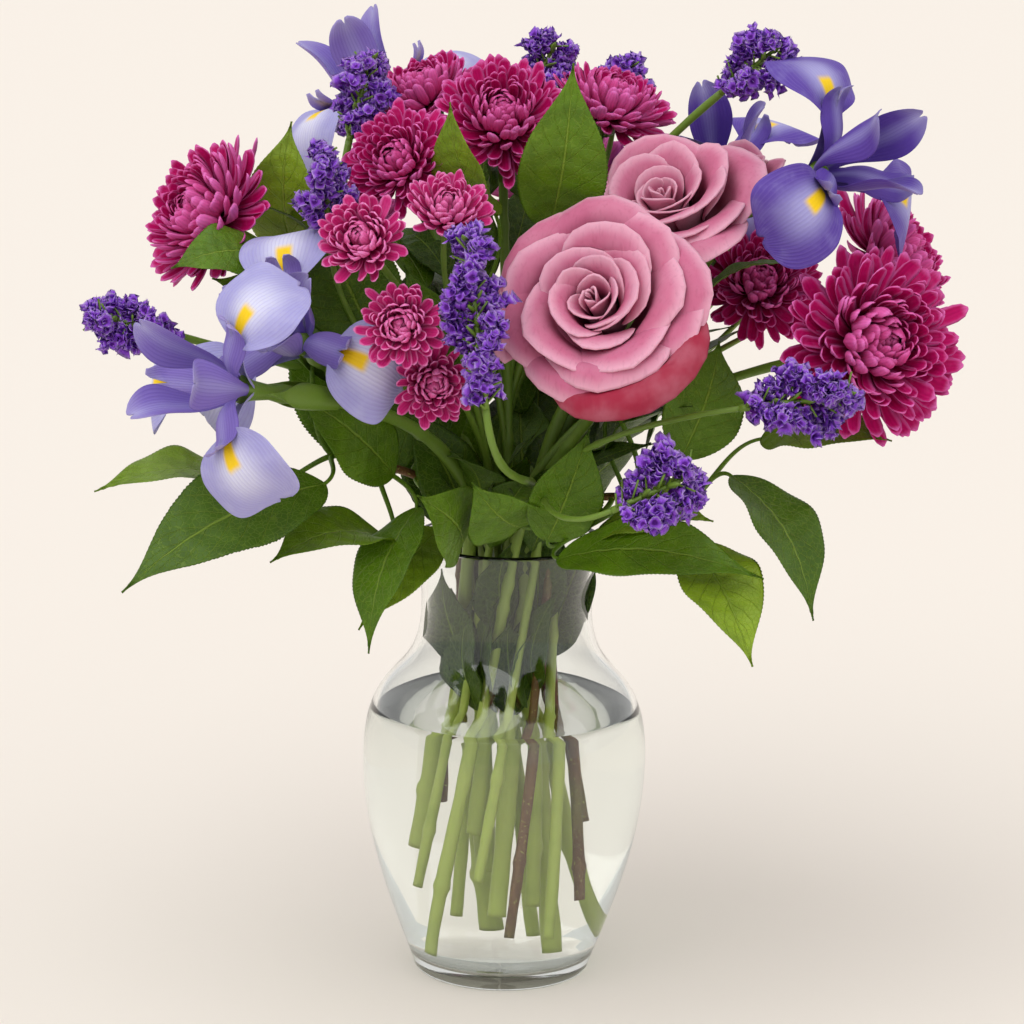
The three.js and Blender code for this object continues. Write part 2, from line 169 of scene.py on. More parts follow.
class GreenSizes(bpy.types.PropertyGroup):
    """Sizes and colours of the stems and leaves."""

    leaf: length("Leaf thickness", "Thickness of a leaf", 0.0006)
    tooth: length("Tooth", "Distance between the teeth on a leaf's edge", 0.0017)
    petiole: length("Petiole radius", "Radius of a leaf's stalk", 0.0010)
    # A blade's tone between the light and the dark leaf colour paints light and shade on the loose leaves and
    # shade on the crowds. The dark colour also darkens the mottle.
    leaf_light: colour("Leaf light", "Colour of the youngest leaves", linear(138, 166, 34))
    leaf_middle: colour("Leaf", "Colour of most leaves", linear(86, 122, 4))
    leaf_dark: colour("Leaf dark", "Colour of the oldest leaves", linear(38, 64, 2))
    vein: colour("Vein", "Colour of a leaf's veins", linear(132, 158, 50))
    green: colour("Green stem", "Colour of a soft stem above the water", linear(104, 134, 40))
    pale: colour("Pale stem", "Colour of a soft stem's lower end", linear(190, 204, 98))
    bark: colour("Bark", "Colour of a woody stem", linear(100, 64, 34))
    bark_light: colour("Light bark", "Colour of a woody stem's streaks", linear(156, 118, 74))


class StageSizes(bpy.types.PropertyGroup):
    """Floor, light and camera."""

    floor_radius: length("Floor radius", "Radius of the plain floor", 30.0)
    floor: colour("Floor", "Colour of the plain floor", linear(238, 230, 221))
    middle: FloatVectorProperty(
        name="Middle", description="Point that the camera looks at", default=(0.0017, 0.0, 0.214),
        subtype="TRANSLATION", unit="LENGTH", size=3)
    distance: length("Camera distance", "From the camera to the middle of the bouquet", 1.690)
    elevation: FloatProperty(
        name="Camera elevation", description="Angle above the horizon", default=math.radians(13.2),
        subtype="ANGLE")
    roll: FloatProperty(
        name="Camera roll", description="Turn about the line of sight", default=math.radians(0.95),
        subtype="ANGLE")
    lens: FloatProperty(name="Lens", description="Focal length in millimetres", default=132.0)
    key: share("Key light", "Strength of the soft main light", 1.38)
    fill: share("Fill light", "Strength of the soft side light", 0.35)
    around: share("Light around", "Strength of the even light from all sides", 0.71)


# ---- Reading the frame --------------------------------------------------------------------

def node_points(node):
    """The corners of a CAD node, each once, in metres."""
    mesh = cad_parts[node].data
    flat = np.empty(len(mesh.vertices) * 3)
    mesh.vertices.foreach_get("co", flat)
    return np.unique(flat.reshape(-1, 3).round(7), axis=0)


def nodes_like(start, end=""):
    """Names of the CAD nodes that begin and end so, in order."""
    return sorted(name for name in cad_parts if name.startswith(start) and name.endswith(end))


def heads_of(spray):
    """Names of the CAD nodes of a spray without its stem, in order."""
    return [name for name in nodes_like(f"{spray}_") if not name.endswith("_stem")]


def unit(vectors):
    """The vectors at length one."""
    return vectors / np.maximum(np.linalg.norm(vectors, axis=-1, keepdims=True), 1e-12)


class Pose:
    """Where a bloom or spike stands: a base point, an axis, two directions across and its sizes.

    The axis is the odd one out of the solid's three principal directions, because a solid with a
    turn symmetry spreads alike in the two others. It points away from the vase's mouth.
    """

    def __init__(self, node):
        points = node_points(node)
        middle = points.mean(axis=0)
        values, vectors = np.linalg.eigh(np.cov((points - middle).T))
        odd = 2 if values[1] - values[0] < values[2] - values[1] else 0
        axis = vectors[:, odd]
        outward = middle - np.array([0.0, 0.0, MOUTH_HEIGHT])
        self.axis = axis if axis @ outward > 0 else -axis
        along = (points - middle) @ self.axis
        rest = points - middle - along[:, None] * self.axis
        reach = np.linalg.norm(rest, axis=1)
        self.base = middle + self.axis * along.min()
        self.length = along.max() - along.min()
        self.radius = reach.max()
        self.far = unit(rest[np.argmax(reach)])
        self.across = unit(np.cross(UP, self.axis))

    def basis(self, first=None):
        """Columns across, across and along, from a first direction square to the axis."""
        first = self.across if first is None else first
        return np.stack([first, np.cross(self.axis, first), self.axis], axis=1)

    def place(self, local, height=0.0, first=None):
        """Local points, with +Z along the axis, in the row frame, `height` above the base."""
        return self.base + self.axis * height + local @ self.basis(first).T


def leaf_pose(node):
    """Root, tip and upper side of a leaf, from its long way and the way that it arches."""
    points = node_points(node)
    middle = points.mean(axis=0)
    long_way = np.linalg.eigh(np.cov((points - middle).T))[1][:, 2]
    run = (points - middle) @ long_way
    ends = points[run < run.min() + MM].mean(axis=0), points[run > run.max() - MM].mean(axis=0)
    root, tip = sorted(ends, key=lambda p: np.linalg.norm(p[:2]))
    along = unit(tip - root)
    arch = middle - (root + tip) / 2
    upper = unit(arch - along * (arch @ along))
    across = np.cross(upper, along)
    width = np.ptp((points - middle) @ across)
    return root, tip, upper, width


def stem_line(node):
    """The cut end of a stem, its direction in the vase and its radius, from its lowest rings."""
    points = node_points(node)
    low = points[points[:, 2] < MOUTH_HEIGHT - 10 * MM]
    low = low[np.argsort(low[:, 2])]
    rings = low[:len(low) // 6 * 6].reshape(-1, 6, 3)
    centres = rings.mean(axis=1)
    run = unit(centres[-1] - centres[0])
    radius = np.linalg.norm(np.cross(rings[0] - centres[0], run), axis=1).mean()
    return centres[0], run, radius


def bezier(p0, p1, p2, p3, steps):
    """Points on the cubic curve with these four control points."""
    t = np.linspace(0, 1, steps)[:, None]
    return (1 - t) ** 3 * p0 + 3 * (1 - t) ** 2 * t * p1 + 3 * (1 - t) * t ** 2 * p2 + t ** 3 * p3


def stem_route(foot, run, end, axis, steps=26):
    """Straight from the cut end to the mouth, then one bend that arrives at `end` along `axis`."""
    mouth = foot + run * (MOUTH_HEIGHT - foot[2]) / run[2]
    reach = np.linalg.norm(end - mouth) * 0.36
    straight = foot + (mouth - foot) * np.linspace(0, 1, steps)[:-1, None]
    return np.concatenate([straight, bezier(mouth, mouth + run * reach, end - axis * reach, end, steps)])


# ---- Meshes -------------------------------------------------------------------------------

def build(name, points, faces, uv=None, tone=None, reverse=None):
    """A mesh object from whole arrays. Faces are turned over if they enclose a negative volume."""
    points = points.reshape(-1, 3)
    volume = 0.0
    for group in faces:
        first = points[group[:, 0]]
        for corner in range(1, group.shape[1] - 1):
            pair = points[group[:, corner]], points[group[:, corner + 1]]
            volume += (first * np.cross(*pair)).sum()
    if volume < 0:
        faces = [group[:, ::-1] for group in faces]
    corners = np.concatenate([group.ravel() for group in faces]).astype(np.int32)
    counts = np.concatenate([np.full(len(group), group.shape[1]) for group in faces])
    starts = np.concatenate([[0], np.cumsum(counts)[:-1]]).astype(np.int32)
    mesh = bpy.data.meshes.new(name)
    mesh.vertices.add(len(points))
    mesh.vertices.foreach_set("co", points.astype(np.float32).ravel())
    mesh.loops.add(len(corners))
    mesh.loops.foreach_set("vertex_index", corners)
    mesh.polygons.add(len(counts))
    mesh.polygons.foreach_set("loop_start", starts)
    mesh.polygons.foreach_set("use_smooth", np.ones(len(counts), dtype=bool))
    if uv is not None:
        layer = mesh.uv_layers.new(name="along_across")
        layer.data.foreach_set("uv", uv.reshape(-1, 2)[corners].astype(np.float32).ravel())
    for key, values in (("tone", tone), ("reverse", reverse)):
        if values is not None:
            attribute = mesh.attributes.new(key, "FLOAT", "POINT")
            attribute.data.foreach_set("value", np.asarray(values, dtype=np.float32).ravel())
    mesh.update(calc_edges=True)
    piece = bpy.data.objects.new(name, mesh)
    bpy.context.collection.objects.link(piece)
    return piece


def ring_faces(count, rows, cols):
    """Four-sided faces of `count` tubes of rows by cols points, closed round the columns."""
    k = np.arange(count)[:, None, None] * rows * cols
    i = np.arange(rows - 1)[None, :, None] * cols
    j = np.arange(cols)[None, None, :]
    following = (j + 1) % cols
    corners = [k + i + j, k + i + following, k + i + cols + following, k + i + cols + j]
    return np.stack(np.broadcast_arrays(*corners), axis=-1).reshape(-1, 4)


def flat_end_faces(count, rows, cols, row, flip):
    """Closes one end of flattened tubes by joining each upper point to the one below it."""
    half = cols // 2
    start = np.arange(count)[:, None] * rows * cols + row * cols
    j = np.arange(1, half - 1)[None, :]
    quads = np.stack([start + j, start + j + 1, start + cols - j - 1, start + cols - j], axis=-1)
    ends = np.concatenate([
        np.stack([start[:, 0], start[:, 0] + 1, start[:, 0] + cols - 1], axis=-1),
        np.stack([start[:, 0] + half - 1, start[:, 0] + half, start[:, 0] + half + 1], axis=-1)])
    quads = quads.reshape(-1, 4)
    return [quads[:, ::-1], ends[:, ::-1]] if flip else [quads, ends]


class Shells:
    """Thin closed petals or blades.

    surface(u, v, k) gives the middle of petal k for u along it from 0 to 1 and v across it from -1
    to 1. A loop runs from edge to edge over the upper face and back under the lower one, and the
    thickness follows half an ellipse across, so that both faces meet at the edges. `crowd` above 1
    draws the rows towards the tip. `reverse` is 1 on the lower face.
    """

    def __init__(self, surface, count, along, across, thickness, crowd=1.0):
        turn = np.arange(2 * across) * math.pi / across
        v = -np.cos(turn)[None, None, :]
        u = (1 - (1 - np.linspace(0, 1, along + 1)) ** crowd)[None, :, None]
        k = np.arange(count)[:, None, None]
        small = 1e-3
        middle = surface(u, v, k)
        run = surface(u + small, v, k) - surface(u - small, v, k)
        side = surface(u, v + small, k) - surface(u, v - small, k)
        normal = unit(np.cross(run, side))
        half = (thickness / 2) * np.sin(turn)[None, None, :, None]
        self.points = middle + normal * half
        rows, cols = along + 1, 2 * across
        shape = (count, rows, cols)
        self.uv = np.stack([np.broadcast_to(u, shape), np.broadcast_to(v / 2 + 0.5, shape)], axis=-1)
        self.faces = [ring_faces(count, rows, cols)]
        self.faces += flat_end_faces(count, rows, cols, 0, True)
        self.faces += flat_end_faces(count, rows, cols, rows - 1, False)
        self.petal = np.broadcast_to(k, shape)
        self.reverse = np.broadcast_to((np.sin(turn) < -1e-9)[None, None, :], shape)


def merged(parts):
    """Points, faces, uv and tone of several parts as one, with the faces renumbered."""
    points, faces, uvs, tones, offset = [], [], [], [], 0
    for part_points, part_faces, part_uv, part_tone in parts:
        flat = part_points.reshape(-1, 3)
        points.append(flat)
        faces += [group + offset for group in part_faces]
        uvs.append(part_uv.reshape(-1, 2))
        tones.append(np.broadcast_to(part_tone, part_points.shape[:-1]).ravel())
        offset += len(flat)
    return np.concatenate(points), faces, np.concatenate(uvs), np.concatenate(tones)


def turned(profile, segments):
    """Points and faces of a solid of revolution about Z; the profile starts and ends on the axis."""
    profile = np.asarray(profile)
    angle = np.arange(segments) * 2 * math.pi / segments
    rings = profile[1:-1]
    body = np.stack([
        rings[:, :1] * np.cos(angle), rings[:, :1] * np.sin(angle),
        np.broadcast_to(rings[:, 1:], (len(rings), segments))], axis=-1).reshape(-1, 3)
    poles = np.array([[0, 0, profile[0, 1]], [0, 0, profile[-1, 1]]])
    points = np.concatenate([body, poles])
    last = (len(rings) - 1) * segments
    j = np.arange(segments)
    following = (j + 1) % segments
    low = np.stack([following, j, np.full(segments, len(body))], axis=-1)
    high = np.stack([last + j, last + following, np.full(segments, len(body) + 1)], axis=-1)
    return points, [ring_faces(1, len(rings), segments), low, high]


def tube(path, radius, sides=10):
    """Points, faces, uv and tone of a round rod along a path, closed by a fan at each end.

    Each ring is a circle square to the path; its first direction is level and square to the
    path's whole run, so that the rings don't twist. `radius` is one for each path point.
    """
    run = unit(np.gradient(path, axis=0))
    chord = unit(path[-1] - path[0] + np.array([1e-6, 0, 0]))
    level = np.cross(UP, chord)
    level = level if np.linalg.norm(level) > 0.05 else np.array([1.0, 0.0, 0.0])
    first = unit(level - run * (run @ level)[:, None])
    second = np.cross(run, first)
    angle = np.arange(sides) * 2 * math.pi / sides
    radius = np.broadcast_to(radius, len(path))[:, None, None]
    rings = path[:, None] + radius * (
        first[:, None] * np.cos(angle)[None, :, None] + second[:, None] * np.sin(angle)[None, :, None])
    points = np.concatenate([rings.reshape(-1, 3), path[:1], path[-1:]])
    count = len(path) * sides
    j = np.arange(sides)
    following = (j + 1) % sides
    low = np.stack([following, j, np.full(sides, count)], axis=-1)
    high = np.stack([count - sides + j, count - sides + following, np.full(sides, count + 1)], axis=-1)
    gone = np.concatenate([[0], np.cumsum(np.linalg.norm(np.diff(path, axis=0), axis=1))])
    uv = np.stack([np.repeat(gone, sides), np.tile(angle / (2 * math.pi), len(path))], axis=-1)
    uv = np.concatenate([uv, [[0, 0], [gone[-1], 0]]])
    return points, [ring_faces(1, len(path), sides), low, high], uv, 0.5


def swept(slope, reach, start=(0.0, 0.0), steps=64):
    """A curve in the plane of radius and height whose slope angle is slope(u), as two functions of u.

    The curve is the running sum of the slope's cosine and sine times the reach; slope may hold a row
    for each petal, and the functions take the petal's number.
    """
    u = np.linspace(-0.05, 1.05, steps)
    angles = np.atleast_2d(slope(u))
    step = (u[1] - u[0]) * np.atleast_1d(reach)[:, None]

    def summed(values, zero):
        total = np.cumsum(values * step, axis=1)
        at_zero = np.array([np.interp(0.0, u, row) for row in total])
        return total - at_zero[:, None] + np.atleast_1d(zero)[:, None]

    tables = summed(np.cos(angles), start[0]), summed(np.sin(angles), start[1])

    def read(where, petal):
        place = np.clip((where - u[0]) / (u[1] - u[0]), 0, steps - 1.001)
        cell = place.astype(int)
        part = place - cell
        petal = petal % len(tables[0])
        return tuple(t[petal, cell] * (1 - part) + t[petal, cell + 1] * part for t in tables)

    return read


def smooth(low, high, x):
    """Rises gently from 0 at low to 1 at high."""
    t = np.clip((x - low) / (high - low), 0, 1)
    return t * t * (3 - 2 * t)


def round_about(radius, height, angle):
    """Points at a radius, a height and an angle about the axis."""
    return np.stack(np.broadcast_arrays(radius * np.cos(angle), radius * np.sin(angle), height), axis=-1)


def sideways(distance, angle):
    """Level steps square to the direction at that angle."""
    return round_about(distance, 0.0, angle + math.pi / 2)


def finished(piece, material, slot, *nodes):
    """Gives a piece its material and its body, and hides the CAD nodes that it stands for; `slot` is not
    used.
    """
    piece.data.materials.append(material)
    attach(piece, "root")
    if nodes:
        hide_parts(*nodes)
    return piece


def joined(name, parts, material, slot, *nodes):
    """One finished piece made of several parts."""
    points, faces, uv, tone = merged(parts)
    return finished(build(name, points, faces, uv, tone), material, slot, *nodes)


# ---- Materials ----------------------------------------------------------------------------

class Number:
    """A number on a node's socket; an expression on such numbers adds the Math nodes."""

    def __init__(self, finish, socket):
        self.finish = finish
        self.socket = socket

    def _math(self, operation, *values):
        return self.finish.node("ShaderNodeMath", {"operation": operation}, *values)

    def __add__(self, other):
        return self._math("ADD", self, other)

    def __sub__(self, other):
        return self._math("SUBTRACT", self, other)

    def __mul__(self, other):
        return self._math("MULTIPLY", self, other)

    def __rsub__(self, other):
        return self._math("SUBTRACT", other, self)

    __radd__ = __add__
    __rmul__ = __mul__

    def sine(self):
        """The sine of the number in radians."""
        return self._math("SINE", self)

    def size(self):
        """The number without its sign."""
        return self._math("ABSOLUTE", self)

    def fraction(self):
        """The part after the point."""
        return self._math("FRACT", self)

    def between(self, low, high):
        """0 below low, 1 above high and a gentle rise between."""
        return self.finish.node(
            "ShaderNodeMapRange", {"interpolation_type": "SMOOTHSTEP", "clamp": True},
            self, low, high, 0.0, 1.0)


class Finish:
    """One material under construction."""

    def __init__(self, name):
        self.material = bpy.data.materials.new(name)
        self.material.use_nodes = True
        self.nodes = self.material.node_tree.nodes
        self.links = self.material.node_tree.links
        self.nodes.clear()

    def node(self, kind, settings, *inputs, out=0, **named):
        """Adds any node: its settings first, then the values or links of its sockets."""
        node = self.nodes.new(kind)
        for key, value in settings.items():
            setattr(node, key, value)
        pairs = list(enumerate(inputs)) + [(key.replace("_", " "), value) for key, value in named.items()]
        for key, value in pairs:
            self.feed(node.inputs[key], value)
        return Number(self, node.outputs[out]) if node.outputs else None

    def feed(self, socket, value):
        """Links a number's socket, or sets a plain value."""
        if isinstance(value, Number):
            self.links.new(value.socket, socket)
        elif value is not None:
            socket.default_value = value

    def place(self, scale=(1.0, 1.0, 1.0)):
        """The place on the object in metres, stretched."""
        here = self.node("ShaderNodeTexCoord", {}, out="Object")
        return self.node("ShaderNodeMapping", {}, here, Scale=scale)

    def uv(self):
        """How far along and how far across the petal or blade."""
        both = self.node("ShaderNodeUVMap", {"uv_map": "along_across"})
        split = self.node("ShaderNodeSeparateXYZ", {}, both)
        return split, Number(self, split.socket.node.outputs[1])

    def tone(self):
        """A number of its own for each petal."""
        return self.node("ShaderNodeAttribute", {"attribute_name": "tone"}, out="Fac")

    def reverse(self):
        """1 on a petal's lower face."""
        return self.node("ShaderNodeAttribute", {"attribute_name": "reverse"}, out="Fac")

    def noise(self, scale, detail=3.0, vector=None):
        """Soft noise from 0 to 1; scale is its cells in a metre."""
        vector = vector or self.place()
        return self.node(
            "ShaderNodeTexNoise", {"noise_dimensions": "3D"}, Vector=vector, Scale=scale, Detail=detail)

    def mix(self, share_of_second, first, second):
        """Two colours mixed."""
        node = self.nodes.new("ShaderNodeMix")
        node.data_type = "RGBA"
        self.feed(node.inputs[0], share_of_second)
        for index, value in ((6, first), (7, second)):
            self.feed(node.inputs[index], value if isinstance(value, Number) else (*value, 1.0))
        return Number(self, node.outputs[2])

    def bump(self, height, strength=0.4, distance=0.0005, under=None):
        """A normal bent by a height."""
        return self.node(
            "ShaderNodeBump", {}, Strength=strength, Distance=distance, Height=height, Normal=under)

    def surface(self, **sockets):
        """The one shader of an opaque finish."""
        shader = self.node("ShaderNodeBsdfPrincipled", {}, **sockets)
        self.node("ShaderNodeOutputMaterial", {}, shader)
        return self.material

    def lamp_clear(self, tint, **sockets):
        """A clear shader that lets lamps through."""
        shader = self.node("ShaderNodeBsdfPrincipled", {}, **sockets)
        open_air = self.node("ShaderNodeBsdfTransparent", {}, Color=(*tint, 1.0))
        is_lamp = self.node("ShaderNodeLightPath", {}, out="Is Shadow Ray")
        both = self.node("ShaderNodeMixShader", {}, is_lamp, shader, open_air)
        self.node("ShaderNodeOutputMaterial", {}, both)
        return self.material


def glass_finish(sizes):
    """Clear glass with a faint grey-green body and slight waves from its mould."""
    finish = Finish("clear_glass")
    waves = finish.bump(finish.noise(22.0, 1.0), 0.06, 0.002)
    return finish.lamp_clear(
        sizes.tint, Base_Color=(*sizes.tint, 1.0), Roughness=0.0, IOR=1.48, Transmission_Weight=1.0,
        Normal=waves)


def water_finish(sizes):
    """Still water."""
    finish = Finish("water")
    ripple = finish.bump(finish.noise(60.0, 1.0), 0.02, 0.001)
    return finish.lamp_clear(
        sizes.water_tint, Base_Color=(*sizes.water_tint, 1.0), Roughness=0.0, IOR=1.33,
        Transmission_Weight=1.0, Normal=ripple)


def green_stem_finish(sizes):
    """Soft stem: fine lengthways ribs, paler towards the cut end, with blotches."""
    finish = Finish("green_stem")
    height = finish.node("ShaderNodeSeparateXYZ", {}, finish.place(), out=2)
    low = 1 - height.between(0.11, MOUTH_HEIGHT + 0.04)
    blotch = finish.noise(70.0, 4.0)
    body = finish.mix(low * 0.85, sizes.green, sizes.pale)
    body = finish.mix(blotch.between(0.5, 0.8) * 0.35, body, sizes.vein)
    ribs = finish.noise(900.0, 2.0, finish.place((1.0, 1.0, 0.04)))
    return finish.surface(
        Base_Color=body, Roughness=blotch * 0.2 + 0.36, Subsurface_Weight=0.15,
        Subsurface_Radius=(0.002, 0.003, 0.001), Normal=finish.bump(ribs, 0.5, 0.0004))


def bark_finish(sizes):
    """Thin brown bark: lengthways streaks, small pores and patches of a green cast."""
    finish = Finish("bark")
    streak = finish.noise(500.0, 4.0, finish.place((1.0, 1.0, 0.08)))
    pores = finish.noise(900.0, 2.0)
    body = finish.mix(streak.between(0.42, 0.68) * 0.3, sizes.bark, sizes.bark_light)
    body = finish.mix(finish.noise(30.0, 2.0).between(0.5, 0.7) * 0.4, body, sizes.green)
    body = finish.mix(pores.between(0.62, 0.7) * 0.5, body, sizes.pale)
    return finish.surface(
        Base_Color=body, Roughness=0.62 - streak * 0.15,
        Normal=finish.bump(streak + pores * 0.4, 0.6, 0.0005))


def leaf_finish(sizes):
    """Leathery leaf: pale midrib and side veins, mottled green between, and each blade toned light to dark
    green, at random on the named leaves and as painted light and shade on the others.
    """
    finish = Finish("salal_leaf")
    u, v = finish.uv()
    out = (v - 0.5).size() * 2
    midrib = 1 - out.between(0.012, 0.05)
    lead = (u - out * 0.26) * 8.5
    wave = (lead.fraction() - 0.5).size() * 2
    side = wave.between(0.90, 0.985) * (1 - out.between(0.75, 0.98)) * 0.8
    net = finish.node(
        "ShaderNodeTexVoronoi", {"feature": "DISTANCE_TO_EDGE"}, Vector=finish.place(), Scale=420.0)
    fine = 1 - net.between(0.02, 0.09)
    mottle = finish.noise(90.0, 4.0)
    # A blade's tone runs from 0, light green, to 1, dark green. It is random on the named leaves, painted
    # light and shade on the loose leaves, and painted shade on the crowds.
    tone_and_shade = finish.tone()
    body = finish.mix(tone_and_shade.between(0.0, 0.5), sizes.leaf_light, sizes.leaf_middle)
    body = finish.mix(tone_and_shade.between(0.5, 1.0), body, sizes.leaf_dark)
    body = finish.mix(mottle.between(0.3, 0.75) * 0.4, body, sizes.leaf_dark)
    body = finish.mix(fine * 0.22, body, sizes.vein)
    body = finish.mix(side * 0.35, body, sizes.vein)
    body = finish.mix(midrib * 0.6, body, sizes.vein)
    relief = fine * -0.25 - side * 1.1 - midrib * 1.3 + mottle * 0.5
    return finish.surface(
        Base_Color=body, Roughness=mottle * 0.18 + 0.34, Specular_IOR_Level=0.32,
        Subsurface_Weight=0.08, Subsurface_Radius=(0.001, 0.003, 0.0005),
        Normal=finish.bump(relief, 0.7, 0.0008))


def petal_finish(name, light, middle, deep):
    """Chrysanthemum petal: deep at the foot and in the heart as painted shade, partly the heart's own colour;
    a painted highlight along its raised edges and tip.

    The lower face is pale all over, with fine lengthways ribs.
    """
    finish = Finish(name)
    u, v = finish.uv()
    tone = finish.tone()
    speckle = finish.noise(260.0, 3.0)
    out = (v - 0.5).size() * 2
    rib = ((v * 26.0).sine() + 1) * 0.5
    # Painted shade: deep at each petal's foot, under the petals that cover it, and over the heart's petals,
    # which are partly this colour of their own.
    body = finish.mix(u.between(0.05, 0.6) * tone.between(0.0, 0.45), deep, middle)
    # Painted highlight: the light colour along the raised edges and the tip.
    rim = finish.node(
        "ShaderNodeMath", {"operation": "MAXIMUM"}, out.between(0.62, 1.0), u.between(0.90, 1.0))
    body = finish.mix(rim * u.between(0.15, 0.7) * (tone * 0.6 + 0.15), body, light)
    body = finish.mix(finish.reverse() * 0.7 * tone, body, light)
    body = finish.mix(rib * 0.16, body, deep)
    body = finish.mix(speckle.between(0.45, 0.8) * 0.12, body, light)
    return finish.surface(
        Base_Color=body, Roughness=0.66 - speckle * 0.12, Specular_IOR_Level=0.15,
        Subsurface_Weight=0.18, Subsurface_Radius=(0.003, 0.001, 0.0015),
        Normal=finish.bump(rib * 0.6 + speckle * 0.4, 0.35, 0.0003))


def rose_finish(sizes):
    """Velvety petal: deep at the root as painted shade between the petals, mauve on the face, a painted
    highlight on the rolled rim, and light on the back.
    """
    finish = Finish("rose_petal")
    u, _ = finish.uv()
    tone = finish.tone()
    cloud = finish.noise(60.0, 3.0)
    veins = finish.noise(700.0, 2.0, finish.place((1.0, 1.0, 0.25)))
    # Painted shade: deep towards each petal's root, between the petals.
    body = finish.mix(u.between(0.30, 0.92), sizes.deep, sizes.middle)
    body = finish.mix(finish.reverse() * 0.45, body, sizes.light)
    # Painted highlight: light on the rolled rim.
    body = finish.mix(u.between(0.86, 1.0) * 0.7, body, sizes.light)
    body = finish.mix(tone.between(0.9, 1.0) * 0.95, body, sizes.guard)
    body = finish.mix(cloud.between(0.35, 0.75) * 0.20, body, sizes.light)
    body = finish.mix(veins.between(0.5, 0.75) * 0.12, body, sizes.deep)
    return finish.surface(
        Base_Color=body, Roughness=0.60 + cloud * 0.12, Specular_IOR_Level=0.2,
        Subsurface_Weight=0.15, Subsurface_Radius=(0.005, 0.0015, 0.002),
        Normal=finish.bump(veins + cloud, 0.25, 0.0004))


def iris_fall_finish(sizes, edge, pale, name):
    """Fall: a yellow signal in a pale halo, bluer towards the edge, with fine branching veins."""
    finish = Finish(name)
    u, v = finish.uv()
    out = (v - 0.5).size() * 2
    cloud = finish.noise(120.0, 3.0)
    veins = ((v * 150.0 + u * 6.0 + cloud * 5.0).sine() + 1) * 0.5
    halo = (1 - (u - 0.60).size().between(0.02, 0.34)) * (1 - out.between(0.10, 0.72))
    patch = (1 - (u - 0.50).size().between(0.085, 0.14)) * (1 - out.between(0.11, 0.24))
    body = finish.mix(halo, edge, pale)
    body = finish.mix(veins.between(0.62, 0.95) * 0.18, body, sizes.deep)
    body = finish.mix(cloud.between(0.45, 0.8) * 0.2, body, pale)
    body = finish.mix(patch, body, sizes.signal)
    return finish.surface(
        Base_Color=body, Roughness=0.50 + cloud * 0.12, Specular_IOR_Level=0.25,
        Subsurface_Weight=0.25, Subsurface_Radius=(0.003, 0.003, 0.006),
        Normal=finish.bump(veins * 0.6 + cloud, 0.35, 0.0004))


def iris_standard_finish(sizes, body_colour, name):
    """Standards and style arms: deep violet-blue, veined, paler along the middle."""
    finish = Finish(name)
    u, v = finish.uv()
    out = (v - 0.5).size() * 2
    cloud = finish.noise(110.0, 3.0)
    veins = ((v * 90.0 + cloud * 2.0).sine() + 1) * 0.5
    body = finish.mix((1 - out.between(0.0, 0.55)) * 0.45, body_colour, sizes.blue)
    body = finish.mix(veins.between(0.6, 0.95) * 0.25, body, sizes.dark)
    body = finish.mix(u.between(0.8, 1.0) * 0.25, body, sizes.pale)
    return finish.surface(
        Base_Color=body, Roughness=0.50 + cloud * 0.12, Specular_IOR_Level=0.25,
        Subsurface_Weight=0.22, Subsurface_Radius=(0.003, 0.003, 0.006),
        Normal=finish.bump(veins * 0.6 + cloud, 0.35, 0.0004))


def statice_finish(sizes):
    """Papery floret: painted shade in the throat, violet face, a painted highlight on the crinkled rim."""
    finish = Finish("statice_floret")
    u, _ = finish.uv()
    tone = finish.tone()
    crinkle = finish.noise(1400.0, 2.0)
    # Painted shade: deep in the throat and at the foot of the funnel.
    body = finish.mix(u.between(0.1, 0.6), sizes.deep, sizes.middle)
    # Painted highlight: light on the rim.
    body = finish.mix(u.between(0.6, 1.0) * (tone * 0.6 + 0.35), body, sizes.light)
    body = finish.mix(crinkle.between(0.4, 0.7) * 0.25, body, sizes.deep)
    return finish.surface(
        Base_Color=body, Roughness=0.75 - crinkle * 0.1, Specular_IOR_Level=0.2,
        Subsurface_Weight=0.15, Subsurface_Radius=(0.001, 0.001, 0.002),
        Normal=finish.bump(crinkle, 0.6, 0.0004))


# ---- Vase and water -----------------------------------------------------------------------

def vase_side(sizes, steps=40):
    """The vase's outer side as points, with its tangents: three cubic arcs from foot to lip."""
    rise = sizes.belly_height - sizes.foot_rounding
    shoulder = sizes.neck_height - sizes.belly_height
    flare = MOUTH_HEIGHT - sizes.neck_height
    foot = np.array([sizes.foot_radius, sizes.foot_rounding])
    belly = np.array([BELLY_RADIUS, sizes.belly_height])
    neck = np.array([sizes.neck_radius, sizes.neck_height])
    lip = np.array([sizes.lip_radius, MOUTH_HEIGHT - sizes.wall / 2])
    arcs = [
        bezier(foot, foot + [0.13 * rise, 0.34 * rise], belly - [0, 0.36 * rise], belly, steps),
        bezier(belly, belly + [0, 0.66 * shoulder], neck - [0, 0.56 * shoulder], neck, steps)[1:],
        bezier(neck, neck + [0, 0.4 * flare], [lip[0] - MM, MOUTH_HEIGHT - 0.3 * flare], lip, steps // 2)[1:]]
    side = np.concatenate(arcs)
    return side, unit(np.gradient(side, axis=0))


def hollow_outline(sizes, inset, floor_height):
    """The hollow from the lip down its wall, round the corner and along the floor to the axis."""
    side, run = vase_side(sizes)
    inner = side + np.stack([-run[:, 1], run[:, 0]], axis=1) * inset
    corner_height = floor_height + 9 * MM
    wall = inner[inner[:, 1] > corner_height][::-1]
    corner_radius = wall[-1, 0]
    turn = np.linspace(0, math.pi / 2, 14)[1:, None]
    corner = np.hstack([
        corner_radius - 9 * MM * (1 - np.cos(turn)), corner_height - 9 * MM * np.sin(turn)])
    return np.concatenate([wall, corner, [[0.0, floor_height]]])


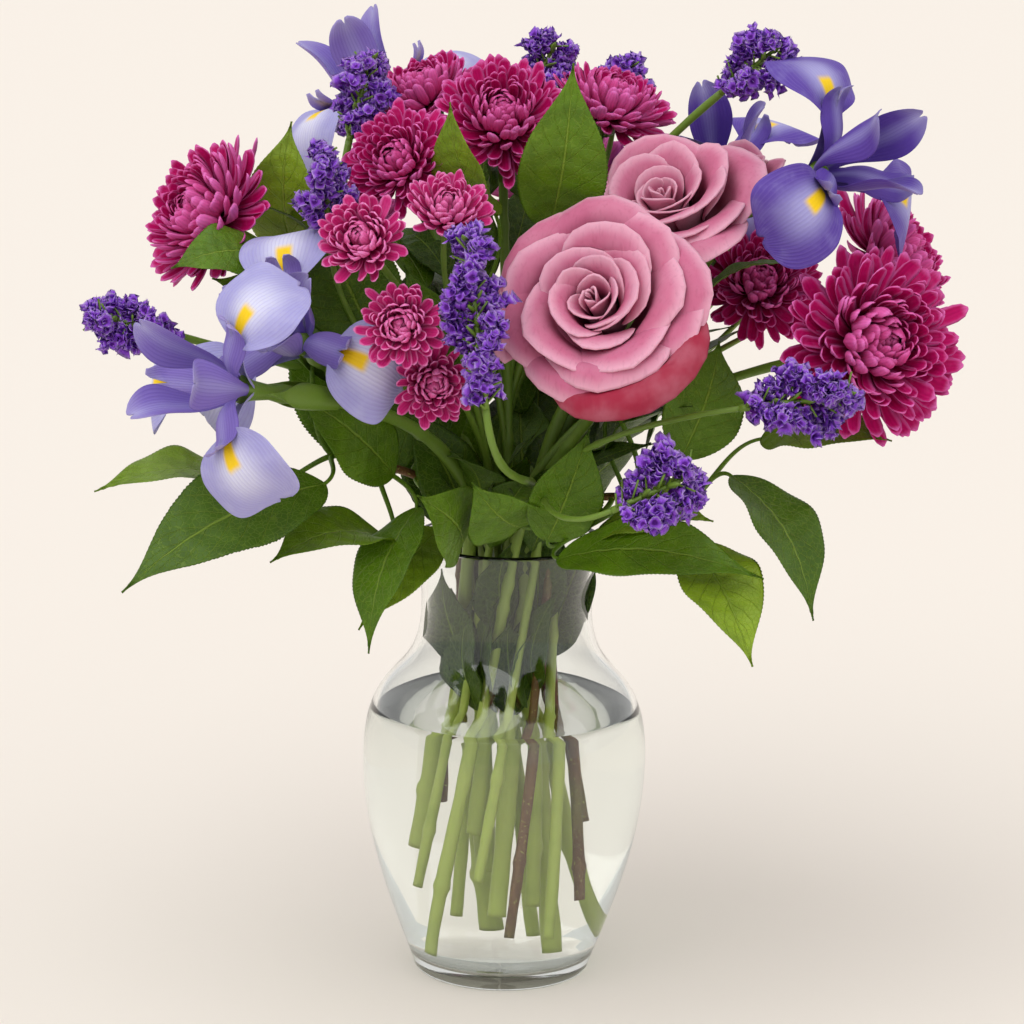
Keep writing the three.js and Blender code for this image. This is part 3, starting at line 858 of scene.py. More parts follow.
def make_vase(sizes):
    """The vase: foot, side, rounded lip and hollow, turned about the axis as one profile."""
    side, _ = vase_side(sizes)
    base = sizes.foot_radius - sizes.foot_rounding
    turn = np.linspace(0, math.pi / 2, 8)[:-1, None]
    foot = np.hstack([
        base + sizes.foot_rounding * np.sin(turn), sizes.foot_rounding * (1 - np.cos(turn))])
    arc = np.linspace(0, math.pi, 12)[1:-1, None]
    half = sizes.wall / 2
    middle = side[-1] - [half, 0]
    lip = np.hstack([middle[0] + half * np.cos(arc), middle[1] + half * np.sin(arc)])
    hollow = hollow_outline(sizes, sizes.wall, sizes.floor)
    profile = np.concatenate([[[0.0, 0.0]], foot, side, lip, hollow])
    points, faces = turned(profile, TURNED_SIDES)
    return build("vase_glass", points, faces)


def make_water(sizes):
    """The water: the hollow's outline cut off level, with a small rise where it wets the glass.

    It reaches a fifth of the wall into the glass, so that no film of air shows between them.
    """
    overlap = 0.2 * sizes.wall
    outline = hollow_outline(sizes, sizes.wall - overlap, FLOOR_HEIGHT - overlap)
    wet = outline[outline[:, 1] < WATER_HEIGHT + MM]
    edge = wet[0, 0]
    back = np.linspace(0, 5, 9)[:, None] * MM
    rise = np.hstack([edge - back, WATER_HEIGHT + MM * np.exp(-back / (1.2 * MM))])[::-1]
    profile = np.concatenate([[[0.0, WATER_HEIGHT]], rise, wet[1:]])
    points, faces = turned(profile, TURNED_SIDES)
    return build("water_body", points, faces)


# ---- Stems --------------------------------------------------------------------------------

def swollen(route, radius, nodes, rng):
    """A stem's radius along its route: slow waves, a taper to 80% and a swelling at each joint."""
    u = np.linspace(0, 1, len(route))
    wave = 1 + 0.05 * np.sin(u * 40 + rng.uniform(0, 6)) + 0.03 * np.sin(u * 93 + rng.uniform(0, 6))
    swell = sum(0.28 * np.exp(-((u - at) / 0.008) ** 2) for at in nodes)
    return radius * (1 - 0.2 * u) * (wave + swell)


def resampled(route, spacing):
    """The route with even steps."""
    gone = np.concatenate([[0], np.cumsum(np.linalg.norm(np.diff(route, axis=0), axis=1))])
    steps = np.linspace(0, gone[-1], max(4, int(gone[-1] / spacing)))
    return np.stack([np.interp(steps, gone, route[:, axis]) for axis in range(3)], axis=1)


def stem_piece(name, node, ends, finish, slot, rng, joints, twig=1.5 * MM):
    """One stem from its cut end to its blooms; the second and later ends leave the first's bend."""
    foot, run, radius = stem_line(node)
    main = resampled(stem_route(foot, run, *ends[0]), 2.2 * MM)
    at = [rng.uniform(0.05, 0.3) + i * 0.9 / joints for i in range(joints)]
    parts = [tube(main, swollen(main, radius, at, rng), 12)]
    bend = stem_route(foot, run, *ends[0])[25:]
    for index, (end, axis) in enumerate(ends[1:]):
        share_of_bend = 0.08 + 0.1 * index
        cell = int(share_of_bend * (len(bend) - 1))
        start, direction = bend[cell], unit(bend[cell + 1] - bend[cell])
        reach = np.linalg.norm(end - start) * 0.34
        route = resampled(bezier(start, start + direction * reach, end - axis * reach, end, 30), 2.5 * MM)
        parts.append(tube(route, swollen(route, twig, [0.5], rng), 9))
    joined(name, parts, finish, slot, node)
    return main


def bloom_end(pose):
    """Where a stem meets a bloom, and the direction in which it arrives."""
    return pose.base + pose.axis * 0.5 * MM, pose.axis


# ---- Blooms -------------------------------------------------------------------------------

def mum_surface(radius, count, rng, button):
    """Petals of a chrysanthemum by the golden angle, from the heart (first) to the rim (last).

    Each petal's middle is an arc whose slope goes from e to e + c: steep and curling in at the
    heart, level and lifting at its tip on the rim. Across, it is a channel whose edges rise. Its
    outline widens from the foot and ends in a half circle.
    """
    k = np.arange(count)
    t = (k + 0.5) / count
    jitter = rng.normal(0, 1, (6, count))
    slope = np.radians((80 - 92 * t ** 0.85 if button else 84 - 116 * t ** 0.95) + 5 * jitter[0])
    curl = np.radians((98 - 50 * t if button else 92 - 44 * t) + 11 * jitter[1])
    reach = radius * ((0.40 + 0.46 * t ** 0.9) if button else (0.28 + 0.60 * t ** 0.8))
    reach = reach * (1 + 0.07 * jitter[2])
    seat = radius * 0.26 * np.sqrt(t)
    lift = radius * (0.12 * (1 - t) - (0.0 if button else 0.04))
    half = radius * ((0.125 if button else 0.098) - 0.03 * (1 - t)) * (1 + 0.10 * jitter[3])
    twist = 0.30 * jitter[4]
    sway = 0.10 * jitter[5]
    angle = k * GOLDEN_ANGLE

    def surface(u, v, petal):
        e, c = slope[petal], curl[petal]
        out = seat[petal] + reach[petal] / c * (np.sin(e + c * u) - np.sin(e))
        high = lift[petal] + reach[petal] / c * (np.cos(e) - np.cos(e + c * u))
        width = half[petal] * (0.45 + 0.55 * smooth(0.0, 0.6, u))
        width = width * np.sqrt(np.clip(1 - (np.clip(u - 0.84, 0, 0.2) / 0.163) ** 2, 0.004, 1))
        channel = width * (0.85 - 0.35 * u) * (v ** 2 - 0.4) + width * v * np.sin(twist[petal] * u)
        flat = angle[petal] + sway[petal] * u
        radial = out - channel * np.sin(e + c * u)
        local = round_about(radial, high + channel * np.cos(e + c * u), flat)
        side = sideways(width * v, flat)
        return local + side

    return surface


def make_mum(name, node, finish, slot, count, thickness, seed, button=False):
    """A chrysanthemum's petals; the green cup of overlapping scales under them is made apart, with the
    others.
    """
    rng = np.random.default_rng(seed)
    pose = Pose(node)
    height = (0.5 if button else 0.42) * pose.radius
    count = int(count * (1 if button else 0.55 + 0.45 * pose.radius / LARGEST_MUM))
    surface = mum_surface(pose.radius * 0.97, count, rng, button)
    shells = Shells(surface, count, 7, 4, thickness, 1.5)
    # Tone grows from the heart outwards. Low tones keep the heart's petals deep, as painted shade that is
    # partly the heart's own colour. High tones carry more of the painted highlight and the pale reverse.
    heart = np.clip(1.6 * (np.arange(count) + 0.5) / count, 0, 1)
    tone = (heart * rng.uniform(0.55, 1, count))[shells.petal]
    points = pose.place(shells.points, height)
    piece = build(name, points, shells.faces, shells.uv, tone, shells.reverse)
    finished(piece, finish, slot, node)
    return pose


def make_calyx(name, poses, finish, scales=13, spread=0.34):
    """Green cups under the blooms: two rings of pointed scales that hug the underside."""
    parts = []
    for pose in poses:
        def surface(u, v, k, size=pose.radius * spread):
            slope = np.radians(20 + 45 * u)
            out = 0.1 * size + size * u * np.cos(slope) * (1 + 0.08 * (k % 2))
            high = size * 0.9 * u * np.sin(slope) - 0.10 * size
            width = size * 0.26 * (1 - u ** 2 * 0.85)
            flat = k * 2 * math.pi / scales
            return round_about(out, high, flat) + sideways(width * v, flat)

        shells = Shells(surface, scales, 4, 2, 0.8 * MM)
        parts.append((pose.place(shells.points, 0.4 * MM), shells.faces, shells.uv, 0.5))
    return joined(name, parts, finish, "green_stem")


def rose_surface(radius, count, rng, openness):
    """Petals of a rose by the golden angle, from the heart (first) outwards.

    Each petal's middle follows a swept curve: inner ones stand up and lean in, outer ones bow out
    and roll their rims back. The petal wraps round the axis by an angle that narrows to its foot.
    The rim peaks in the middle, because the petal's two shoulders drop, and one edge lies inside
    the next petal, because its radius grows across. The heart stands a little off the axis, and
    every petal is a little out of true.
    """
    t = np.linspace(0, 1, count) ** 1.25
    jitter = np.clip(rng.normal(0, 1, (9, count)), -1.6, 1.6)
    loose = 0.4 + 0.6 * t
    first = np.radians(86 - 60 * t ** 0.8 * openness + 5 * jitter[0] * loose)[:, None]
    middle = np.radians(92 - 34 * t * openness + 7 * jitter[6] * loose)[:, None]
    rim = np.radians(104 - 158 * t ** 0.7 * openness + 15 * jitter[1] * t)[:, None]

    def slope(u):
        u = np.clip(u, 0, 1)[None, :]
        low = first + (middle - first) * smooth(0.0, 0.5, u)
        return low + (rim - middle) * smooth(0.66, 1.0, u)

    reach = radius * (0.80 + 0.42 * t ** 0.9) * (1 + 0.05 * jitter[2])
    seat = radius * (0.03 + 0.25 * t ** 1.1)
    foot = radius * (-0.50 + 0.03 * jitter[7] * loose)
    curve = swept(slope, reach, (seat, foot))
    span = np.radians(80 - 28 * t) * (1 + 0.12 * jitter[3])
    angle = (np.arange(count) - count + 1) * GOLDEN_ANGLE + 0.22 * jitter[4] * (t < 1) - 1.0
    phase = rng.uniform(0, 6.28, (3, count))
    spiral = 0.16 + 0.08 * jitter[5]
    peak = 0.5 + 0.5 * rng.uniform(0, 1, count)
    heart = radius * 0.10 * (1 - t) ** 1.2

    def surface(u, v, k):
        late = smooth(0.40, 1.0, u)
        shoulder = np.abs(v) ** 1.7
        outline = 1 - 0.17 * np.abs(v) ** 3.5 + 0.10 * t[k] * peak[k] * np.exp(-(v / 0.24) ** 2)
        out, high = curve(u * outline, k)
        wrap = span[k] * (0.28 + 0.72 * np.sin(math.pi / 2 * np.clip(u, 0, 1)) ** 0.8)
        ruffle = np.sin(2.7 * v + phase[0, k]) + 0.5 * np.sin(5.9 * v + phase[1, k])
        crease = np.sin(3.3 * u + 2.2 * v + phase[2, k])
        out = out * (1 + spiral[k] * v * (1.25 - t[k])) + 0.034 * radius * ruffle * late * (0.3 + t[k])
        out = out + 0.030 * radius * crease * (0.3 + t[k]) * late
        drop = (0.04 + 0.34 * t[k]) * peak[k]
        high = high - drop * radius * shoulder * late + 0.026 * radius * ruffle * late * (0.3 + t[k])
        local = round_about(out, high, angle[k] + wrap * v)
        return local + heart[k][..., None] * np.array([-0.75, 0.55, 0.0])

    return surface


def make_rose(name, node, finish, sizes, seed, openness=1.0, share_of_petals=1.0, guards=0):
    """A rose bloom of wrapped petals; the outermost `guards` petals take the guard petals' tone."""
    rng = np.random.default_rng(seed)
    pose = Pose(node)
    count = int(sizes.petals * share_of_petals)
    surface = rose_surface(pose.radius * 0.98, count, rng, openness)
    shells = Shells(surface, count, 20, 14, sizes.petal, 1.25)
    tone = rng.uniform(0, 0.85, count)
    tone[count - guards:] = 1.0
    points = pose.place(shells.points, 0.95 * pose.radius)
    piece = build(name, points, shells.faces, shells.uv, tone[shells.petal], shells.reverse)
    finished(piece, finish, "rose_petal", node)
    return pose


def make_hips(name, poses, finish):
    """Under each rose a round hip and five long sepals that bend back."""
    parts = []
    for pose in poses:
        size = pose.radius
        hip, hip_faces = turned([
            [0, 0], [0.10 * size, 0.0], [0.17 * size, 0.12 * size], [0.18 * size, 0.24 * size],
            [0.26 * size, 0.40 * size], [0.10 * size, 0.46 * size], [0, 0.46 * size]], 20)
        parts.append((pose.place(hip), hip_faces, np.zeros((len(hip), 2)), 0.5))

        def surface(u, v, k, size=size):
            slope = np.radians(60 - 95 * u)
            out = 0.17 * size + 0.55 * size * u * np.cos(slope * 0.5)
            high = 0.30 * size + 0.32 * size * np.sin(2.4 * u) * 0.6
            width = 0.10 * size * (1 - u) ** 0.8 + 0.3 * MM
            flat = k * 2 * math.pi / 5
            bowl = 0.4 * width * v ** 2
            return round_about(out, high + bowl, flat) + sideways(width * v, flat)

        shells = Shells(surface, 5, 12, 4, 0.9 * MM)
        parts.append((pose.place(shells.points), shells.faces, shells.uv, 0.5))
    return joined(name, parts, finish, "green_stem")


def iris_fall_surface(sizes, rng):
    """Three falls: a narrow rising haft, then a round blade that arches over and hangs.

    The middle follows a swept curve from 56 degrees up to about 76 degrees down. The half width is the
    rounded greater of a narrow haft and an ellipse. Across, the haft is a trough and the blade
    bows down, with a slow ruffle along its rim.
    """
    hang = rng.uniform(-6, 6, 3)[:, None]

    def slope(u):
        u = np.clip(u, 0, 1)[None, :]
        return np.radians(56 - 20 * smooth(0, 0.3, u) - (112 + hang) * smooth(0.28, 0.95, u))

    curve = swept(slope, sizes.fall, (4 * MM, 2 * MM))
    phase = rng.uniform(0, 6.28, 3)
    roll = rng.normal(0, 0.12, 3)

    def surface(u, v, k):
        haft = 0.25 + 0.10 * u
        blade = np.sqrt(np.clip(1 - ((u - 0.685) / 0.325) ** 2, 0.0009, 1))
        width = sizes.fall_width / 2 * (haft ** 5 * (1 - smooth(0.6, 0.9, u)) + blade ** 5) ** 0.2
        notch = 1 - 0.035 * np.exp(-(v / 0.2) ** 2) * smooth(0.8, 1.0, u)
        out, high = curve(u * notch - 0.03 * np.abs(v) ** 3 * smooth(0.5, 1, u), k)
        trough = 0.35 * width * v ** 2 * (1 - smooth(0.3, 0.55, u))
        bow = -0.26 * width * v ** 2 * smooth(0.4, 0.7, u)
        ruffle = 2.4 * MM * np.sin(11 * u + 2 * v + phase[k]) * np.abs(v) ** 2.5 * smooth(0.35, 0.6, u)
        flat = k * 2 * math.pi / 3
        dip = np.cos(np.radians(60) * smooth(0.3, 1, u))
        radial = out + (bow + ruffle) * (1 - dip) * -1
        across = width * v
        high = high + (trough + bow + ruffle) * dip + across * roll[k] * u
        return round_about(radial, high, flat) + sideways(across, flat)

    return surface


def iris_standard_surface(sizes, rng):
    """Three standards between the falls: upright spoons with a notched tip, hollow side inwards."""
    lean = rng.uniform(-9, 9, 3)[:, None]

    def slope(u):
        u = np.clip(u, 0, 1)[None, :]
        return np.radians(52 + 26 * smooth(0, 0.5, u) + lean - 26 * smooth(0.6, 1, u))

    curve = swept(slope, sizes.standard, (3 * MM, 3 * MM))
    phase = rng.uniform(0, 6.28, 3)

    def surface(u, v, k):
        width = sizes.standard_width / 2 * (0.24 + 0.76 * smooth(0.1, 0.72, u))
        width = width * np.sqrt(np.clip(1 - (np.clip(u - 0.72, 0, 0.3) / 0.29) ** 2, 0.004, 1))
        notch = 1 - 0.06 * np.exp(-(v / 0.22) ** 2) * smooth(0.8, 1.0, u)
        out, high = curve(u * notch, k)
        bowl = -0.42 * width * v ** 2 + 0.7 * MM * np.sin(10 * u + phase[k]) * v ** 2 * u
        flat = (k + 0.5) * 2 * math.pi / 3
        return round_about(out + bowl, high, flat) + sideways(width * v, flat)

    return surface


def iris_style_surface(sizes, rng):
    """Three style arms over the hafts, arched, each ending in two raised crests."""
    def slope(u):
        u = np.clip(u, 0, 1)[None, :]
        return np.radians(64 - 52 * smooth(0.1, 0.62, u) + 74 * smooth(0.7, 1.0, u))

    curve = swept(slope, sizes.style_arm, (3 * MM, 7 * MM))
    curl = rng.uniform(0.8, 1.2, 3)

    def surface(u, v, k):
        width = sizes.style_width / 2 * (0.45 + 0.55 * smooth(0.1, 0.6, u))
        width = width * (1 - 0.45 * smooth(0.8, 1.0, u))
        split = 1 - 0.26 * np.exp(-(v / 0.22) ** 2) * smooth(0.6, 1.0, u)
        out, high = curve(u * split, k)
        bowl = -0.45 * width * v ** 2 * (1 - smooth(0.6, 0.9, u))
        spread = width * v * (1 + 0.25 * smooth(0.75, 1, u) * curl[k])
        flat = k * 2 * math.pi / 3
        return round_about(out, high + bowl, flat) + sideways(spread, flat)

    return surface


def make_iris(index, sizes, fall_finish, standard_finish, green):
    """An iris bloom: falls, standards and style arms, and the green tube in its two sheaths."""
    node = f"iris_{index}_bloom"
    rng = np.random.default_rng(40 + index)
    pose = Pose(node)
    first = pose.far
    falls = Shells(iris_fall_surface(sizes, rng), 3, 44, 22, sizes.petal)
    points = pose.place(falls.points, sizes.tube, first)
    finished(build(f"iris_{index}_falls", points, falls.faces, falls.uv, 0.5 + 0 * falls.petal),
             fall_finish, "iris_petal", node)
    parts = []
    for surface, along in ((iris_standard_surface(sizes, rng), 36), (iris_style_surface(sizes, rng), 30)):
        shells = Shells(surface, 3, along, 12, sizes.petal)
        parts.append((pose.place(shells.points, sizes.tube, first), shells.faces, shells.uv, 0.5))
    joined(f"iris_{index}_standards", parts, standard_finish, "iris_petal")
    tube_points, tube_faces = turned([
        [0, 0], [3.4 * MM, 0], [4.2 * MM, 0.35 * sizes.tube], [3.2 * MM, 0.6 * sizes.tube],
        [4.4 * MM, sizes.tube], [6.0 * MM, sizes.tube + 5 * MM], [3 * MM, sizes.tube + 8 * MM],
        [0, sizes.tube + 8 * MM]], 24)

    def sheath(u, v, k):
        out = 4.6 * MM + 1.8 * MM * np.sin(2.2 * u) + 3 * MM * smooth(0.7, 1.0, u)
        high = -22 * MM + 46 * MM * u * (1 - 0.12 * v ** 2)
        wrap = 1.25 * (1 - smooth(0.45, 1.0, u) * 0.93) * v
        return round_about(out, high, k * math.pi + wrap)

    shells = Shells(sheath, 2, 24, 8, 0.8 * MM)
    parts = [(pose.place(tube_points), tube_faces, np.zeros((len(tube_points), 2)), 0.5),
             (pose.place(shells.points), shells.faces, shells.uv, 0.5)]
    joined(f"iris_{index}_tube", parts, green, "green_stem")
    return pose


# ---- Statice ------------------------------------------------------------------------------

def floret_rings():
    """Profile of a floret one wide: up its outside, over the rim and down its throat."""
    return np.array([[0, 0], [0.10, 0.03], [0.28, 0.44], [0.5, 0.66], [0.16, 0.36], [0, 0.30]])


def floret_seats(reach, radius, sizes, rng):
    """Seats and facings of the florets on one spike, as two arrays.

    Short side branches leave the axis by turns left and right with even steps. Each carries
    florets in two rows from near the axis to its tip, where they crowd; a row's florets face
    up along the spike and outwards. The outline is a narrow egg.
    """
    branches = max(7, int(reach / (0.72 * sizes.spacing)))
    b = np.arange(branches)[:, None]
    s = (b + 0.5) / branches
    bulge = np.sin(math.pi * (0.06 + 0.90 * s) ** 0.9) ** 0.6
    long_way = radius * bulge * rng.uniform(0.58, 1.14, (branches, 1))
    per = max(9, int(3.9 * radius / sizes.spacing))
    q = ((np.arange(per) // 3 + rng.uniform(0.0, 1.0, per)) / (per / 3))[None, :] ** 0.75
    row = (np.arange(per) % 3 - 1)[None, :]
    flat = b * GOLDEN_ANGLE * 1.37 + rng.normal(0, 0.25, (branches, 1)) + 0.30 * row * (1.2 - 0.4 * q)
    out = long_way * (0.16 + 0.84 * q)
    high = reach * (0.03 + 0.90 * s) + out * 0.34 - 0.2 * sizes.floret * row ** 2
    lean = np.radians(18 + 52 * q) + 0.30 * rng.normal(0, 1, (branches, per))
    turn = flat + 0.9 * row * rng.uniform(0.3, 1.0, (branches, per))
    seat = round_about(out, np.clip(high, 0, 0.98 * reach), flat)
    facing = unit(round_about(np.sin(lean), np.cos(lean), turn))
    return seat.reshape(-1, 3), facing.reshape(-1, 3)


def make_florets(name, heads, finish, sizes, seed, node=()):
    """Papery florets on the side branches of each spike.

    A floret is a funnel turned from its profile; its rim is crushed and frilled by seeded noise.
    All are made at once: floret by profile ring by angle.
    """
    rng = np.random.default_rng(seed)
    parts = []
    segments = 9
    j = np.arange(segments)
    angle = j * 2 * math.pi / segments
    following = (j + 1) % segments
    rings = floret_rings()
    for pose, reach, radius in heads:
        seat, facing = floret_seats(reach, radius, sizes, rng)
        count = len(seat)
        k = np.arange(count)
        first = unit(np.cross(facing, rng.normal(0, 1, (count, 3))))
        second = np.cross(facing, first)
        size = sizes.floret * rng.uniform(0.66, 1.15, count)
        share_of_crush = np.array([0, 0.5, 1, 0.3])[None, :, None]
        crush = 1 + share_of_crush * rng.normal(0, 0.18, (count, 1, segments))
        frill = share_of_crush * rng.normal(0, 0.26, (count, 1, segments))
        ring_out = rings[1:-1, 0][None, :, None] * crush * size[:, None, None]
        ring_high = rings[1:-1, 1][None, :, None] * size[:, None, None] * (1 + frill)
        local = np.stack([ring_out * np.cos(angle), ring_out * np.sin(angle), ring_high], axis=-1)
        poles = np.zeros((count, 2, 3))
        poles[:, 1, 2] = rings[-1, 1] * size
        local = np.concatenate([local.reshape(count, -1, 3), poles], axis=1)
        basis = np.stack([first, second, facing], axis=1)
        world = pose.place(seat[:, None] + local @ basis, 0.0)
        per = 4 * segments + 2
        i = np.arange(3)[:, None] * segments
        quads = np.stack(np.broadcast_arrays(
            i + j, i + following, i + segments + following, i + segments + j), axis=-1).reshape(-1, 4)
        low = np.stack([following, j, np.full(segments, per - 2)], axis=-1)
        high = np.stack([3 * segments + j, 3 * segments + following, np.full(segments, per - 1)], axis=-1)
        start = (k * per)[:, None, None]
        faces = [(start + group[None]).reshape(-1, group.shape[1]) for group in (quads, low, high)]
        # Along the funnel: 0 at its foot and 0.15 in the throat, both painted shade, up to 1 at the rim,
        # which takes the painted highlight.
        depth = np.repeat([0.0, 0.55, 1.0, 0.15], segments)
        along = np.broadcast_to(np.concatenate([depth, [0.0, 0.0]]), (count, per))
        uv = np.stack([along, np.full((count, per), 0.5)], axis=-1)
        tone = np.broadcast_to(rng.uniform(0, 1, count)[:, None], (count, per))
        parts.append((world, faces, uv, tone))
    return joined(name, parts, finish, "statice_floret", *node)


def make_spike_green(name, heads, finish, seed):
    """The green core of each spike with small pointed bracts between the florets."""
    rng = np.random.default_rng(seed)
    parts = []
    for pose, length_of_head, radius in heads:
        s = np.linspace(0, 1, 16)
        spine = pose.place(np.stack([0 * s, 0 * s, length_of_head * 0.93 * s], axis=1))
        parts.append(tube(spine, (1.6 - 0.9 * s) * MM, 8))
        count = int(26 * length_of_head / 0.04)
        k = np.arange(count)
        where = (k + 0.5) / count
        lean = np.radians(rng.uniform(35, 75, count))
        flat = k * GOLDEN_ANGLE
        size = radius * rng.uniform(0.55, 0.8, count)

        def bract(u, v, petal, where=where, lean=lean, flat=flat, size=size, reach=length_of_head):
            out = size[petal] * u * np.sin(lean[petal])
            high = reach * 0.88 * where[petal] + size[petal] * u * np.cos(lean[petal])
            width = 1.5 * MM * np.sin(0.3 + 2.6 * u)
            turn = flat[petal]
            return round_about(out, high, turn) + sideways(width * v, turn)

        shells = Shells(bract, count, 3, 2, 0.9 * MM)
        parts.append((pose.place(shells.points), shells.faces, shells.uv, 0.5))
    return joined(name, parts, finish, "green_stem")


# ---- Leaves -------------------------------------------------------------------------------

def leaf_shells(root, tip, upper, width, sizes, rng, steps=None):
    """A salal leaf: an oval blade with a drawn-out tip, fine teeth and a quilted face.

    Half width: sin(pi * u^0.80) to a power that grows towards the tip. The middle arches by
    a sine and its tip droops; the two halves rise from the midrib, and ripple along the edge.
    Between the side veins the face bulges by a cosine. Teeth are a saw wave on the edge only.
    """
    along = tip - root
    reach = np.linalg.norm(along)
    along = unit(along)
    across = np.cross(upper, along)
    teeth = reach / sizes.tooth
    phase = rng.uniform(0, 6.28, 3)
    fold = rng.uniform(0.10, 0.24)

    def surface(u, v, _):
        inside = np.clip(u, 0.0005, 0.9995)
        half = width / 2 * (0.02 + 0.98 * np.sin(math.pi * inside ** 0.80) ** (0.80 + 1.0 * inside ** 3))
        saw = 0.035 * ((u * teeth) % 1.0) * np.abs(v) ** 10
        arch = LEAF_ARCH * reach * np.sin(math.pi * u) - 0.05 * reach * u ** 4
        ripple = 0.05 * half * np.sin(9 * u + phase[0]) * np.abs(v) ** 2 * np.sign(v)
        ripple = ripple + 0.06 * half * np.sin(17 * u + phase[1] + 2 * np.sign(v)) * np.abs(v) ** 3
        quilt = 0.0004 * np.cos(2 * math.pi * (u - 0.26 * np.abs(v)) * 8.5) * -np.sin(math.pi * np.abs(v))
        height = arch + fold * half * (np.abs(v) ** 1.3) + ripple + quilt
        side = half * v * (1 + saw)
        drift = 0.03 * reach * np.sin(2.2 * u + phase[2])
        return (root + along * (reach * u)[..., None] + across * (side + drift * u)[..., None]
                + upper * height[..., None])

    steps = steps or int(max(40, min(170, teeth * 3)))
    shells = Shells(surface, 1, steps, 9 if steps > 40 else 6, sizes.leaf)
    return shells.points, shells.faces, shells.uv


def petiole(root, along, branches, sizes):
    """A leaf's stalk from the nearest point of the branches to the root of the blade."""
    anchor = branches[np.argmin(np.linalg.norm(branches - root, axis=1))]
    reach = np.linalg.norm(root - anchor)
    inner = anchor + unit(np.array([anchor[0], anchor[1], 0.25 * reach])) * reach * 0.3
    route = bezier(anchor, inner, root - along * reach * 0.4, root + along * 3 * MM, 22)
    taper = np.linspace(1.4, 0.8, len(route))
    return tube(route, sizes.petiole * taper, 8)


# Leaves besides the named ones, in millimetres from the middle of the mouth: root, tip, the way
# that the upper side faces, width, and a tone from 0 to 1 that paints light and shade: 0 lit, 1 shaded.
LOOSE_LEAVES = (
    ((-106, -39, 133), (-145, -59, 130), (0.0, -0.6, 0.8), 30, 0.55),
    ((-51, -59, 11), (-98, -108, 15), (-0.2, -0.5, 0.8), 42, 0.30),
    ((-48, -29, 35), (-96, 4, 112), (0.2, -1.0, 0.3), 60, 0.62),
    ((-50, -49, 38), (-92, -72, 78), (0.3, -0.8, 0.5), 36, 0.45),
    ((-20, -54, 8), (-36, -92, 40), (0.3, -0.8, 0.4), 36, 0.42),
    ((-30, -48, 14), (-62, -84, -22), (0.0, -0.8, 0.6), 26, 0.20),
    ((6, -50, 16), (-14, -84, 42), (-0.3, -0.9, 0.3), 34, 0.55),
    ((78, -78, 17), (104, -127, -22), (0.3, -0.8, 0.5), 36, 0.02),
    ((40, -56, 16), (86, -96, 34), (0.1, -0.6, 0.9), 40, 0.25),
    ((110, -39, 55), (163, -69, 63), (0.1, -0.6, 0.9), 34, 0.30),
    ((-7, -49, 153), (-30, -69, 202), (-0.7, -0.7, 0.2), 32, 0.22),
    ((17, -59, 12), (34, -72, 64), (0.2, -1.0, 0.1), 32, 0.60),
    ((75, -39, 45), (93, -24, 95), (0.2, -1.0, 0.2), 36, 0.50),
    ((-30, -20, 60), (-46, -40, 128), (0.3, -1.0, 0.1), 42, 0.70),
    ((42, -30, 60), (60, -30, 104), (-0.1, -1.0, 0.3), 34, 0.65),
    ((-92, -8, 96), (-128, -40, 122), (-0.2, -0.9, 0.5), 34, 0.35),
    ((-60, -34, 96), (-86, -40, 150), (0.1, -1.0, 0.2), 44, 0.72),
)
# Crowds of leaves in the middle, dark as painted shade: root radius and height (from, to), length,
# count, first angle and sweep in degrees, and tilt above level in degrees (from, to).
LEAF_CROWDS = (
    ((14, 30, -6, 14), (48, 74), 26, 0, 360, (34, 66)),
    ((30, 62, 34, 76), (52, 78), 26, -30, 240, (28, 62)),
    ((50, 84, 90, 130), (42, 56), 18, -10, 200, (20, 60)),
    ((6, 22, -86, -34), (42, 60), 22, 0, 360, (70, 86)),
    ((54, 88, 40, 100), (44, 58), 16, 20, 150, (20, 60)),
    ((10, 60, 120, 160), (36, 48), 14, -60, 300, (40, 75)),
)


# Roses from the front one to the bud: how far open, share of the petals and guard petals.
ROSES = (
    (1.0, 1.0, 1),
    (0.96, 0.9, 0),
    (0.45, 0.4, 0),
)


# ---- Operators ----------------------------------------------------------------------------

class Finishes:
    """The materials, made once and shared by the pieces."""

    kept = {}

    @classmethod
    def get(cls, key, make, *args):
        """The material of that name, made the first time."""
        if key not in cls.kept:
            cls.kept[key] = make(*args)
        return cls.kept[key]


def green(context):
    """The soft stems' finish."""
    return Finishes.get("green", green_stem_finish, context.scene.bouquet_green)


def bark(context):
    """The woody stems' finish."""
    return Finishes.get("bark", bark_finish, context.scene.bouquet_green)


class BOUQUET_OT_vase(bpy.types.Operator):
    """Turns the glass vase and fills it with water"""

    bl_idname = "bouquet.vase"
    bl_label = "Vase and water"

    def execute(self, context):
        sizes = context.scene.bouquet_vase
        finished(make_vase(sizes), glass_finish(sizes), "glass", "vase")
        finished(make_water(sizes), water_finish(sizes), "water", "water")
        return {"FINISHED"}


class BOUQUET_OT_irises(bpy.types.Operator):
    """Makes the iris blooms and their stems"""

    bl_idname = "bouquet.irises"
    bl_label = "Irises"

    def execute(self, context):
        sizes = context.scene.bouquet_iris
        light = (iris_fall_finish(sizes, sizes.blue, sizes.pale, "iris_fall_light"),
                 iris_standard_finish(sizes, sizes.deep, "iris_standard_light"))
        dark = (iris_fall_finish(sizes, sizes.dark, sizes.blue, "iris_fall_dark"),
                iris_standard_finish(sizes, sizes.dark, "iris_standard_dark"))
        rng = np.random.default_rng(11)
        for index in range(1, len(nodes_like("iris_", "_bloom")) + 1):
            pair = dark if index in (3, 4) else light
            pose = make_iris(index, sizes, *pair, green(context))
            stem_piece(f"iris_{index}_stalk", f"iris_{index}_stem", [bloom_end(pose)],
                       green(context), "green_stem", rng, 2)
        return {"FINISHED"}


